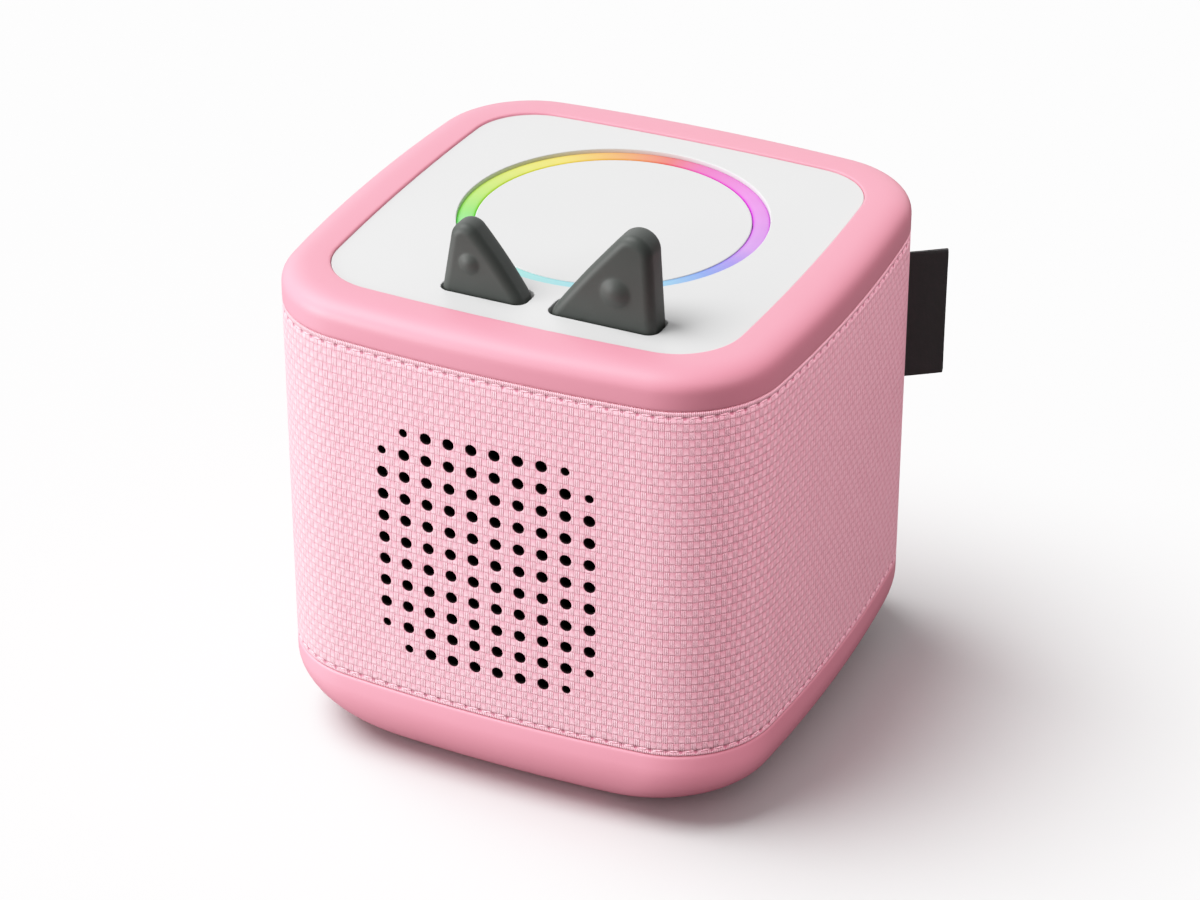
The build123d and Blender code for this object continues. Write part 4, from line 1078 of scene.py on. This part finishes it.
def make_ring_diffuser():
    """Milky plastic lit from below in a rainbow of colours."""
    material, tree, shader = new_finish("ring diffuser")
    do = partial(calc, tree)
    parts = add_node(tree, "ShaderNodeSeparateXYZ", Vector=object_place(tree))
    right = parts.outputs["X"]
    back = do("SUBTRACT", parts.outputs["Y"], dock_y * MM)
    turn = do("FRACT", do("ADD", do("DIVIDE", do("ARCTAN2", back, right), 2 * math.pi), 1.0))
    ramp = add_node(tree, "ShaderNodeValToRGB", Fac=turn)
    ramp.color_ramp.elements.remove(ramp.color_ramp.elements[1])
    for index, (degrees, red, green, blue) in enumerate(ring_hues):
        stop = ramp.color_ramp.elements[0] if index == 0 else ramp.color_ramp.elements.new(degrees / 360)
        stop.color = screen_colour(red, green, blue)
    radius = do("SQRT", do("ADD", do("MULTIPLY", back, back), do("POWER", right, 2.0)))
    from_middle = do("ABSOLUTE", do("SUBTRACT", do("MULTIPLY", radius, 1000.0), ring_middle))
    edge = do("POWER", do("MULTIPLY", from_middle, ring_edge_scale), 6.0)

    def shaded(colour, **values):
        return add_node(tree, "ShaderNodeHueSaturation", Color=colour, **values).outputs["Color"]

    hue = ramp.outputs["Color"]
    grain = use_group(tree, grain_group, Grain_Size=0.5, Patch_Size=6.0)
    cloudiness = do("MULTIPLY_ADD", grain["Patches"], 0.12, 0.94)
    glow = shaded(mix_colours(tree, edge, hue, shaded(hue, Saturation=1.5, Value=0.86)), Value=cloudiness)
    fill_inputs(
        tree,
        shader,
        Base_Color=shaded(glow, Value=0.45),
        Emission_Color=glow,
        Emission_Strength=0.48,
        Normal=add_bump(tree, grain["Height"], 0.2, 0.03),
        Roughness=0.5,
        Specular_IOR_Level=0.2,
    )
    return material


ring_diffuser = make_ring_diffuser()

# %% Build the ring
dock_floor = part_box("dock_disc")[1][2] / MM
disc_radius = 31.0
# each row: radius, height above the dock's floor
ring_profile = [
    (31.12, -1.7),
    (31.12, -0.25),
    (31.2, -0.08),
    (31.38, 0.0),
    (ring_middle, 0.02),
    (34.62, 0.0),
    (34.8, -0.08),
    (34.88, -0.25),
    (34.88, -1.7),
]
ring_rows = []
for radius, height in ring_profile:
    ring_rows.append([(x, y, dock_floor + height) for x, y in round_outline(radius, steps=180)])
ring_mesh = joined_rings(ring_rows, close=True)
ring = make_piece("ring", *ring_mesh, stands_for=["light_ring"], finish="ring_diffuser")
ring.data.materials.append(ring_diffuser)
print(f"ring: {len(ring.data.polygons)} faces")

# %% [markdown]
# ## Dock disc
#
# The disc that a figure stands on is white like the plate, with a finer grain. It is one more flat moulding,
# with a circle for its outline.

# %% Build the dock disc
disc_thick = 1.8
disc_gap = 0.05
disc_edge = 0.3
outlines = [round_outline(disc_radius - disc_gap)]
disc_bottom = dock_floor - disc_thick
disc = make_flat_moulding("disc", outlines, disc_bottom, dock_floor, disc_edge, ["dock_disc"], "disc_white")
disc.data.materials.append(disc_white)
print(f"disc: {len(disc.data.polygons)} faces")

# %% [markdown]
# ## Ears
#
# Each ear is a fin of dark rubber moulded over a lever. Its outline is one upright side, one sloping side that
# bows slightly outwards, and round corners between them. If every side moves in by the same amount and every
# corner radius shrinks by it, the outline keeps its number of points, so the round front edge is simply a
# stack of such outlines. The front then carries on inwards to the foot of the shallow dome that a finger
# finds, and over the dome itself.

# %% Ear sizes
ear_bottom = 111.6
ear_middle_y = -37.3
shoulder_height = 114.6
shoulder_radius = 8.0
ear_sizes = {
    "small_ear": {
        "upright": -19.4,
        "sloping": 0.1,
        "peak": (-15.9, 134.8),
        "slope_middle": (-7.3, 125.1),
        "tip_radius": 3.5,
        "thick": 6.8,
        "dome": (-12.3, 122.0, 2.4),
    },
    "large_ear": {
        "upright": 31.2,
        "sloping": 6.4,
        "peak": (29.4, 142.6),
        "slope_middle": (17.4, 129.1),
        "tip_radius": 4.5,
        "thick": 7.6,
        "dome": (22.3, 122.8, 3.4),
    },
}

# %% [markdown]
# A round corner between two sides is the circle that touches both. Its middle is where the two sides would
# cross if each moved in by the radius, which is a crossing of two lines, or of a line and a circle.


# %% Ear outline
def circle_through(first, second, third):
    """Return the middle and radius of the circle through three points."""
    a, b = second - first, third - first
    across = 2 * (a.x * b.y - a.y * b.x)
    x = b.y * a.length_squared - a.y * b.length_squared
    y = a.x * b.length_squared - b.x * a.length_squared
    middle = Vector((x, y)) / across + first
    return middle, (first - middle).length


def crossing_of_lines(first, along_first, second, along_second):
    """Return where two lines cross, each a point and a direction."""
    gap = second - first
    turn = along_first.x * along_second.y - along_first.y * along_second.x
    return first + along_first * ((gap.x * along_second.y - gap.y * along_second.x) / turn)


def crossing_of_circle(point, along, middle, radius, side):
    """Return where a line crosses a circle, on the side given as 1 or -1."""
    foot = point + along * (middle - point).dot(along)
    reach = math.sqrt(radius**2 - (foot - middle).length_squared)
    return foot + along * reach * side


def arc_points(middle, radius, start, end, steps):
    """Return points on the short arc from the direction of one point to that of another."""
    first = math.atan2(start.y - middle.y, start.x - middle.x)
    turn = math.atan2(end.y - middle.y, end.x - middle.x) - first
    turn = (turn + math.pi) % (2 * math.pi) - math.pi
    angles = [first + turn * step / steps for step in range(steps + 1)]
    return [middle + Vector((math.cos(angle), math.sin(angle))) * radius for angle in angles]


def ear_outline(size, inset):
    """Return an ear's closed outline, moved in evenly, always with the same number of points."""
    sign = 1 if size["upright"] > size["sloping"] else -1
    inward = Vector((-sign, 0))
    shoulder = Vector((size["upright"], shoulder_height))
    peak = Vector(size["peak"])
    low_end = Vector((size["sloping"], shoulder_height))
    bow, bow_radius = circle_through(peak, Vector(size["slope_middle"]), low_end)
    rise = (peak - shoulder).normalized()
    rise_inward = Vector((-sign * rise.y, sign * rise.x))
    up = Vector((0, 1))

    def shifted(point, direction, amount):
        return point + direction * (inset + amount)

    shoulder_round = shoulder_radius - inset
    tip_round = size["tip_radius"] - inset
    upright_line = shifted(shoulder, inward, shoulder_round)
    rising_line = shifted(shoulder, rise_inward, shoulder_round)
    foot_line = shifted(low_end, -inward, shoulder_round)
    tip_line = shifted(shoulder, rise_inward, tip_round)
    at_foot = 1 if low_end.y > bow.y else -1
    shoulder_middle = crossing_of_lines(upright_line, up, rising_line, rise)
    tip_middle = crossing_of_circle(tip_line, rise, bow, bow_radius - size["tip_radius"], 1)
    foot_middle = crossing_of_circle(foot_line, up, bow, bow_radius - shoulder_radius, at_foot)
    points = [Vector((size["upright"] - sign * inset, ear_bottom))]
    points.append(Vector((size["upright"] - sign * inset, (ear_bottom + shoulder_middle.y) / 2)))
    shoulder_end = shoulder_middle - rise_inward
    points += arc_points(shoulder_middle, shoulder_round, shoulder_middle - inward, shoulder_end, 4)
    start = tip_middle - rise_inward * tip_round
    points += [points[-1].lerp(start, step / 8) for step in range(1, 8)]
    points += arc_points(tip_middle, tip_round, start, bow + (tip_middle - bow) * 2, 24)
    slope = arc_points(bow, bow_radius - inset, tip_middle, foot_middle, 24)
    points += slope[1:-1]
    points += arc_points(foot_middle, shoulder_round, bow + (foot_middle - bow) * 2, foot_middle + inward, 12)
    foot = Vector((size["sloping"] + sign * inset, ear_bottom))
    points.append(points[-1].lerp(foot, 0.5))
    points += [foot.lerp(points[0], step / 16) for step in range(16)]
    return points


# %% [markdown]
# The dome's height is a list of shares, from a soft start outside its edge to the crown. The front face keeps
# one extra outline just inside the round edge, which stops the smooth shading from smearing into the flat.

# %% Build the ears
dome_profile = [
    (1.3, 0.0),
    (1.15, 0.008),
    (1.05, 0.04),
    (0.97, 0.1),
    (0.88, 0.22),
    (0.76, 0.4),
    (0.62, 0.6),
    (0.46, 0.78),
    (0.3, 0.91),
    (0.12, 0.985),
]
dome_share = 0.33
edge_steps = 9
flat_margin = 0.25
ear_sharp_angle = math.radians(50)


def make_ear(name, size):
    """Build one ear's rubber skin."""
    front = ear_middle_y - size["thick"] / 2
    back = ear_middle_y + size["thick"] / 2
    dome_x, dome_z, dome_radius = size["dome"]
    middle = Vector((dome_x, dome_z))
    face_outline = ear_outline(size, ear_round)
    rays = [(point - middle).normalized() for point in face_outline]

    def ring_at(y, inset):
        return [(point.x, y, point.y) for point in ear_outline(size, inset)]

    rings = []
    for reach, share in reversed(dome_profile):
        depth = dome_share * dome_radius * share
        dome_ring = [middle + ray * dome_radius * reach for ray in rays]
        rings.append([(point.x, front - depth, point.y) for point in dome_ring])
    rings.append(ring_at(front, ear_round + flat_margin))
    for step in range(edge_steps + 1):
        angle = math.pi / 2 * step / edge_steps
        rings.append(ring_at(front + ear_round * (1 - math.cos(angle)), ear_round * (1 - math.sin(angle))))
    for step in range(edge_steps + 1):
        angle = math.pi / 2 * step / edge_steps
        rings.append(ring_at(back - ear_round * (1 - math.sin(angle)), ear_round * (1 - math.cos(angle))))
    rings.append(ring_at(back, ear_round + flat_margin))
    points, faces = joined_rings(rings)
    count = len(face_outline)
    faces.append(tuple(range(count)))
    last = len(points) - count
    faces.append(tuple(reversed(range(last, last + count))))
    piece = make_piece(name, points, faces, body=name, stands_for=[f"{name}_skin"], finish="ear_rubber")
    turned = bmesh.new()
    turned.from_mesh(piece.data)
    bmesh.ops.recalc_face_normals(turned, faces=turned.faces)
    turned.to_mesh(piece.data)
    turned.free()
    piece.data.set_sharp_from_angle(angle=ear_sharp_angle)
    return piece


# %% Finish: ear rubber
ear_rubber = make_moulded("ear rubber", (54, 58, 55), (61, 65, 62), 0.3, 9.0, 0.46, 0.12, 0.3, 0.05, 0.0, 0.35)
for name, size in ear_sizes.items():
    ear = make_ear(name, size)
    ear.data.materials.append(ear_rubber)
    print(f"{name}: {len(ear.data.polygons)} faces")

# %% [markdown]
# ## Side label
#
# A short woven tape is folded double and its two ends are sewn into the back right corner seam. It is left
# blank. Its plan is a thin closed loop: along the front layer, round the fold and back along the other layer.
# The loop is repeated up its height with a slight wave, and the fold pulls in a little at the top and bottom,
# as cut tape does.

# %% Build the label
label_bottom, label_top = (corner[2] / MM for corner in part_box("side_label"))
label_root = Vector((53.9, 48.6))
label_out = Vector((math.cos(seam_angle), math.sin(seam_angle)))
label_side = Vector((-label_out.y, label_out.x))
label_reach = 10.3
layer_middle = 0.2
layer_half = 0.17
label_rows = 36
sewn_in = 1.1
fold_margin = 0.45
fold_pull = 0.12
fold_pull_height = 0.3
label_sway = 0.28
label_puff = 0.5


def label_section(up):
    """Return the tape's middle line in plan at a height."""
    share = (up - label_bottom) / (label_top - label_bottom)
    from_edge = min(up - label_bottom, label_top - up)
    reach = label_reach - fold_margin - fold_pull * math.exp(-from_edge / fold_pull_height)
    run = [(reach + sewn_in) * step / 16 for step in range(17)]
    turns = [-math.pi / 2 + math.pi * step / 8 for step in range(1, 8)]
    line = [(distance - sewn_in, -layer_middle) for distance in run]
    line += [(reach + layer_middle * math.cos(turn), layer_middle * math.sin(turn)) for turn in turns]
    line += [(reach - distance, layer_middle) for distance in run]
    placed = []
    for out, side in line:
        free = max(0.0, out / label_reach)
        sway = label_sway * math.sin(2.2 * share + 0.4) * free**2
        puff = 1.0 + label_puff * free * (0.5 - share) ** 2
        placed.append(label_root + label_out * out + label_side * (side * puff + sway))
    return placed


def make_label():
    """Build the folded tape as one thin closed sheet."""
    heights = [label_bottom + (label_top - label_bottom) * row / (label_rows - 1) for row in range(label_rows)]
    rings = []
    flat = []
    for up in heights:
        line = label_section(up)
        run = 0.0
        sides = ([], [])
        runs = []
        for index, spot in enumerate(line):
            before = line[max(0, index - 1)]
            after = line[min(len(line) - 1, index + 1)]
            run += (spot - before).length
            runs.append((run, up))
            ahead = (after - before).normalized()
            normal = Vector((ahead.y, -ahead.x))
            for side, layer in zip(sides, (layer_half, -layer_half)):
                side.append((spot.x + normal.x * layer, spot.y + normal.y * layer, up))
        outer, inner = sides
        rings.append([*outer, *reversed(inner)])
        flat += [*runs, *reversed(runs)]
    points, faces = joined_rings(rings)
    count = len(rings[0])
    top = len(points) - count
    for index in range(count // 2 - 1):
        cap = (index, count - 1 - index, count - 2 - index, index + 1)
        faces += [cap, tuple(top + corner for corner in reversed(cap))]
    piece = make_piece("label", points, faces, stands_for=["side_label"], finish="label_tape")
    tape = piece.data.uv_layers.new(name="tape")
    for loop in piece.data.loops:
        run, up = flat[loop.vertex_index]
        tape.data[loop.index].uv = (run * MM, up * MM)
    return piece


# %% Finish: label tape
def make_label_tape():
    """Charcoal woven tape with a fine twill."""
    material, tree, shader = new_finish("label tape")
    along, up = cloth_map(tree, "tape")
    twill = use_group(tree, weave_group, Along=along, Up=up, Block_Width=0.34, Block_Height=0.36, Strands=1.0)
    grain = use_group(tree, grain_group, Grain_Size=0.2, Patch_Size=12.0)
    # Painted shade: the twill's low places are mixed towards a darker grey.
    yarn = mix_colours(tree, twill["Shade"], screen_colour(66, 64, 64), screen_colour(78, 76, 76))
    height = calc(tree, "MULTIPLY_ADD", grain["Height"], 0.4, twill["Height"])
    fill_inputs(
        tree,
        shader,
        Base_Color=mix_colours(tree, twill["Height"], screen_colour(38, 36, 37), yarn),
        Normal=add_bump(tree, height, 0.7, 0.1),
        Roughness=0.75,
    )
    return material


label = make_label()
label.data.materials.append(make_label_tape())
print(f"label: {len(label.data.polygons)} faces")

# %% [markdown]
# ## Dust screen
#
# Behind the grille a black acoustic cloth keeps dust out of the loudspeaker. Only glimpses of it show through
# the holes, but it gives them their depth. It is a plain grid wrapped at its own depth inside the cover.

# %% Build the dust screen
screen_inset = 3.5
screen_half = 27.5
screen_low = 30.4
screen_high = 91.6
screen_cells = 24
screen_thick = 0.3


def make_dust_screen():
    """Build the cloth behind the grille."""
    inner = Outline(half_width - screen_inset, corner_radius - screen_inset, side_bow - screen_inset)
    points = []
    for row in range(screen_cells + 1):
        for column in range(screen_cells + 1):
            spot, _ = inner.at(-screen_half + 2 * screen_half * column / screen_cells)
            points.append((spot.x, spot.y, screen_low + (screen_high - screen_low) * row / screen_cells))
    faces = []
    for row in range(screen_cells):
        for column in range(screen_cells):
            low = row * (screen_cells + 1) + column
            high = low + screen_cells + 1
            faces.append((low, low + 1, high + 1, high))
    piece = make_piece("dust_screen", points, faces, stands_for=["dust_cloth"], finish="black_cloth")
    tape = piece.data.uv_layers.new(name="tape")
    for loop in piece.data.loops:
        x, _, z = points[loop.vertex_index]
        tape.data[loop.index].uv = (x * MM, z * MM)
    thickness = piece.modifiers.new("thickness", "SOLIDIFY")
    thickness.thickness = screen_thick * MM
    thickness.offset = 0.0
    apply_modifiers(piece)
    return piece


def make_black_cloth():
    """Open black acoustic weave."""
    material, tree, shader = new_finish("black cloth")
    along, up = cloth_map(tree, "tape")
    fine = use_group(tree, weave_group, Along=along, Up=up, Block_Width=0.45, Block_Height=0.45, Strands=1.0)
    # Painted shade: the weave's low places are a little darker.
    fill_inputs(
        tree,
        shader,
        Base_Color=mix_colours(tree, fine["Height"], screen_colour(3, 3, 3), screen_colour(9, 8, 8)),
        Normal=add_bump(tree, fine["Height"], 0.5, 0.1),
        Roughness=0.9,
        Specular_IOR_Level=0.05,
    )
    return material


dust_screen = make_dust_screen()
dust_screen.data.materials.append(make_black_cloth())
print(f"dust screen: {len(dust_screen.data.polygons)} faces")

# %% [markdown]
# ## Padding
#
# Between the cover and the rigid core lies a sleeve of foam. The cover hides it, but a soft piece deserves a
# soft finish, so it gets the open pores of cut foam from a cell texture, with painted shade in the pores.


# %% Finish: padding
def make_foam():
    """Pale cut foam with open pores."""
    material, tree, shader = new_finish("padding foam")
    cells = add_node(tree, "ShaderNodeTexVoronoi", Vector=object_place(tree), Scale=1400.0)
    pores = cells.outputs["Distance"]
    # Painted shade: the colour is darker in the pores, where the bump is low.
    colour = mix_colours(tree, pores, screen_colour(205, 196, 188), screen_colour(232, 226, 220))
    fill_inputs(tree, shader, Base_Color=colour, Normal=add_bump(tree, pores, 0.8, 0.3), Roughness=0.95)
    return material


# %% [markdown]
# ## Finishes for the inner pieces
#
# The chassis, the loudspeaker, the boards and the screws keep the solids of the fixed model. Each material
# among them is one row of a table for the moulded finish. The backing of the grille is part of the chassis but
# is painted black as painted shade, because its slots would otherwise shine pale through the holes.

# %% Table of inner finishes
inner_finishes = {
    # slot: light, deep, grain size, patch size, mean roughness, metalness, grain depth
    "soft_trim": ((236, 158, 178), (231, 150, 171), 0.32, 26.0, 0.46, 0.0, 0.06),
    "bottom_grey": ((196, 194, 193), (184, 182, 181), 0.35, 20.0, 0.5, 0.0, 0.05),
    "chassis_plastic": ((216, 214, 208), (204, 202, 196), 0.4, 24.0, 0.45, 0.0, 0.04),
    "lever_plastic": ((62, 63, 64), (52, 53, 54), 0.3, 10.0, 0.4, 0.0, 0.03),
    "steel": ((196, 198, 200), (150, 152, 156), 0.12, 3.0, 0.3, 1.0, 0.02),
    "basket_metal": ((150, 152, 154), (120, 122, 126), 0.3, 8.0, 0.42, 1.0, 0.03),
    "ferrite": ((58, 57, 58), (42, 41, 42), 0.25, 5.0, 0.55, 0.3, 0.05),
    "cone_paper": ((52, 50, 48), (36, 35, 34), 0.7, 6.0, 0.85, 0.0, 0.15),
    "surround_rubber": ((40, 40, 41), (30, 30, 31), 0.3, 8.0, 0.5, 0.0, 0.03),
    "copper": ((222, 138, 92), (188, 106, 66), 0.15, 2.0, 0.32, 1.0, 0.05),
    "board_green": ((34, 104, 66), (22, 78, 48), 0.5, 4.0, 0.35, 0.0, 0.04),
    "chip_black": ((46, 46, 48), (34, 34, 36), 0.15, 4.0, 0.5, 0.0, 0.03),
    "module_metal": ((208, 208, 206), (176, 176, 174), 0.2, 4.0, 0.35, 1.0, 0.02),
    "led_white": ((250, 246, 226), (240, 234, 208), 0.2, 2.0, 0.3, 0.0, 0.02),
    "cell_wrap": ((92, 150, 196), (74, 128, 176), 0.3, 12.0, 0.3, 0.0, 0.03),
    "strap_black": ((44, 44, 45), (30, 30, 31), 0.4, 5.0, 0.7, 0.0, 0.08),
    "lead_insulation": ((198, 52, 46), (168, 38, 34), 0.3, 8.0, 0.4, 0.0, 0.03),
    "socket_black": ((40, 40, 42), (30, 30, 32), 0.25, 6.0, 0.38, 0.0, 0.03),
    "shell_steel": ((206, 207, 209), (170, 172, 176), 0.1, 2.0, 0.25, 1.0, 0.02),
}


def make_inner_finish(slot, light, deep, grain_size, patch_size, roughness, metallic, depth):
    """Make one row of the table into a material."""
    name = slot.replace("_", " ")
    return make_moulded(name, deep, light, grain_size, patch_size, roughness - 0.08, 0.16, 0.4, depth, metallic)


finishes = {slot: make_inner_finish(slot, *row) for slot, row in inner_finishes.items()}
finishes["padding"] = make_foam()
# Painted shade: the grille's backing is black so that the holes read dark.
backing_shade_black = make_inner_finish("backing_shade_black", (9, 8, 8), (5, 5, 5), 0.4, 24.0, 0.8, 0.0, 0.04)
print(f"{len(finishes)} finishes for the inner pieces, and one for the grille's backing")

# %% Dress the inner pieces
slot_of = {part["node"]: part["material_slot"] for part in frame["record"]["subparts"]}
own_finish = {"grille_backing": backing_shade_black}
dressed = 0
for name, node in nodes.items():
    finish = own_finish.get(name, finishes.get(slot_of[name]))
    if node.hide_render or finish is None:
        continue
    node.data.materials.clear()
    node.data.materials.append(finish)
    dressed += 1
print(f"dressed {dressed} inner pieces")

# %% [markdown]
# ## Soft edges on the rigid trim
#
# The pieces that show at the back and underneath are moulded or pressed, so none of their edges is truly
# sharp. A Weld joins the points that the model's file keeps apart, and a small Bevel catches the light along
# every edge. Both are modifiers, so the pieces themselves stay as they are.

# %% Round the visible rigid edges
edge_rounds = {
    "port_bezel": 0.3,
    "headphone_socket": 0.12,
    "usb_socket": 0.06,
    "usb_insert": 0.06,
    "bottom_plate": 0.25,
    "bottom_screws": 0.12,
}
for name, amount in edge_rounds.items():
    weld = nodes[name].modifiers.new("weld", "WELD")
    weld.merge_threshold = 0.01 * MM
    bevel = nodes[name].modifiers.new("bevel", "BEVEL")
    bevel.width = amount * MM
    bevel.segments = 3
    bevel.limit_method = "ANGLE"
    bevel.angle_limit = math.radians(38)
    bevel.harden_normals = True
print("rounded:", ", ".join(edge_rounds))

# %% [markdown]
# ## Studio
#
# The player stands on a pale, matt sweep. A studio photographer would hang a silk over the set and flag the
# floor, so that the light comes from above and the walls of the player stay in half tone. Here the sky does
# the silk's work, a little brighter overhead than at the horizon, and the floor shows white but throws little
# light back. The floor lies a hair below the player's feet, so that the two faces don't fight for the same
# place where they meet.

# %% Floor
floor_drop = 0.05
floor_half = 4.0


def make_floor():
    """Build the pale floor."""
    work = bmesh.new()
    bmesh.ops.create_grid(work, x_segments=24, y_segments=24, size=floor_half)
    mesh = bpy.data.meshes.new("floor")
    work.to_mesh(mesh)
    work.free()
    floor = bpy.data.objects.new("floor", mesh)
    bpy.context.scene.collection.objects.link(floor)
    floor.location.z = -floor_drop * MM
    floor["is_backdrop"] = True
    material, tree, shader = new_finish("studio floor")
    grain = use_group(tree, grain_group, Grain_Size=1.5, Patch_Size=400.0)
    white = mix_colours(tree, grain["Patches"], screen_colour(252, 252, 252), screen_colour(254, 254, 254))
    seen = add_node(tree, "ShaderNodeLightPath").outputs["Is Camera Ray"]
    colour = mix_colours(tree, seen, screen_colour(112, 112, 112), white)
    fill_inputs(tree, shader, Base_Color=colour, Roughness=0.8, Specular_IOR_Level=0.1)
    floor.data.materials.append(material)
    return floor


floor = make_floor()

# %% [markdown]
# The sky's strength rises a little from the horizon to the zenith. A bright wall behind and to the left is seen
# only by mirrored rays, so it puts a soft sheen on the plate and the silicone without lighting anything.
#
# Two suns with a wide angle shine from high on the left. Their light is as even as a wall of silk, and their
# shadows fall to the right with soft edges. One lights only the player and one only the floor, so the shadow's
# strength can be set without changing the player.
#
# Soft boxes fill the walls. The front one is close to the left corner on purpose, so that the front grows
# darker from left to right. The right one lifts the side and the cloth one hangs high, so that each row of the
# weave shades the next. A small one lifts the front of the base, and one behind keeps the back from going dark.
# Three of them are pink, for the light that pink cloth and silicone throw on each other. Light linking keeps
# all of them off the floor, where they would wash out the shadow.

# %% Sky
world = bpy.data.worlds.new("studio sky")
bpy.context.scene.world = world
world.use_nodes = True
sky = world.node_tree
sky_way = add_node(sky, "ShaderNodeTexCoord").outputs["Generated"]
sky_height = add_node(sky, "ShaderNodeSeparateXYZ", Vector=sky_way).outputs["Z"]
sky_strength = spread(sky, sky_height, 0.0, 1.0, 0.22, 0.32)
towards_wall = add_node(sky, "ShaderNodeVectorMath", {"operation": "DOT_PRODUCT"}, Vector=sky_way)
towards_wall.inputs[1].default_value = (-0.5, 0.85, 0.1)
wall = spread(sky, towards_wall.outputs["Value"], 0.1, 0.9, 0.0, 1.3)
mirrored = add_node(sky, "ShaderNodeLightPath").outputs["Is Glossy Ray"]
sky_total = calc(sky, "ADD", sky_strength, calc(sky, "MULTIPLY", wall, mirrored))
fill_inputs(sky, sky.nodes["Background"], Strength=sky_total, Color=(1.0, 1.0, 1.0, 1.0))


# %% Lights
def add_lamp(name, lamp, spot, aim):
    """Put a lamp at a spot in metres and point it at another."""
    holder = bpy.data.objects.new(name, lamp)
    holder.location = spot
    holder.rotation_euler = (Vector(aim) - Vector(spot)).to_track_quat("-Z", "Y").to_euler()
    bpy.context.scene.collection.objects.link(holder)
    return holder


def link_light(holder, lit):
    """Let a lamp light only the given pieces."""
    receivers = bpy.data.collections.new("lit by the " + holder.name)
    for piece in lit:
        receivers.objects.link(piece)
    holder.light_linking.receiver_collection = receivers


def add_sun(name, energy, angle, spot, lit):
    """Add a sun with a wide angle that lights only the given pieces."""
    lamp = bpy.data.lights.new(name, "SUN")
    lamp.energy = energy
    lamp.angle = math.radians(angle)
    link_light(add_lamp(name, lamp, spot, (0, 0, 0)), lit)


def add_fill(name, watts, size, spot, aim, lit, tint=(1.0, 1.0, 1.0)):
    """Add a soft box that lights only the given pieces."""
    lamp = bpy.data.lights.new(name, "AREA")
    lamp.color = tint
    lamp.size = size
    lamp.energy = watts
    link_light(add_lamp(name, lamp, spot, aim), lit)


player = [piece for piece in bpy.context.scene.objects if piece.type == "MESH" and piece != floor]
add_sun("key", 3.5, 44, (-0.54, -0.18, 0.82), player)
add_sun("floor key", 3.3, 46, (-0.44, -0.1, 0.89), [floor])

pink_bounce = (1.0, 0.76, 0.83)
soft_pieces = [cover, upper_stitches, lower_stitches]
add_fill("front fill", 2.0, 0.22, (-0.33, -0.33, 0.14), (-0.05, -0.06, 0.06), player)
add_fill("right fill", 1.9, 0.5, (0.6, -0.15, 0.55), (0.03, 0, 0.06), [rim, base, *soft_pieces], pink_bounce)
add_fill("cloth fill", 5.5, 0.3, (0.34, -0.25, 0.85), (0.03, 0, 0.06), soft_pieces, pink_bounce)
add_fill("base fill", 0.6, 0.2, (0.2, -0.46, 0.1), (0.04, -0.05, 0.01), [base], pink_bounce)
add_fill("back fill", 1.4, 0.5, (-0.1, 0.7, 0.3), (0, 0, 0.06), [base, label, *soft_pieces])

# %% [markdown]
# Film gives way gently where the light is strong, so a pale pink keeps its hue in the brightest places and
# stays deep in the shade. A curve on the scene's colours does the same.

# %% Film curve
film_white = 1.3
film_shoulder = 1.6
settings = bpy.context.scene.view_settings
settings.view_transform = "Standard"
settings.look = "None"
settings.exposure = 0.0
settings.gamma = 1.0
settings.use_curve_mapping = True
settings.curve_mapping.white_level = (film_white, film_white, film_white)
film = settings.curve_mapping.curves[3]
for step in range(1, 8):
    share = step / 8
    film.points.new(share, 1 - (1 - share) ** film_shoulder)
settings.curve_mapping.update()
print("studio ready")

# %% [markdown]
# ## Size of the dressed player
#
# The last cell prints how large the dressed player is, to set beside the fixed model's box printed at the
# start.

# %% Dressed size
dressed_box = [list(corner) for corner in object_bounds()]
print("visual box in mm:", [[round(value / MM, 1) for value in corner] for corner in dressed_box])
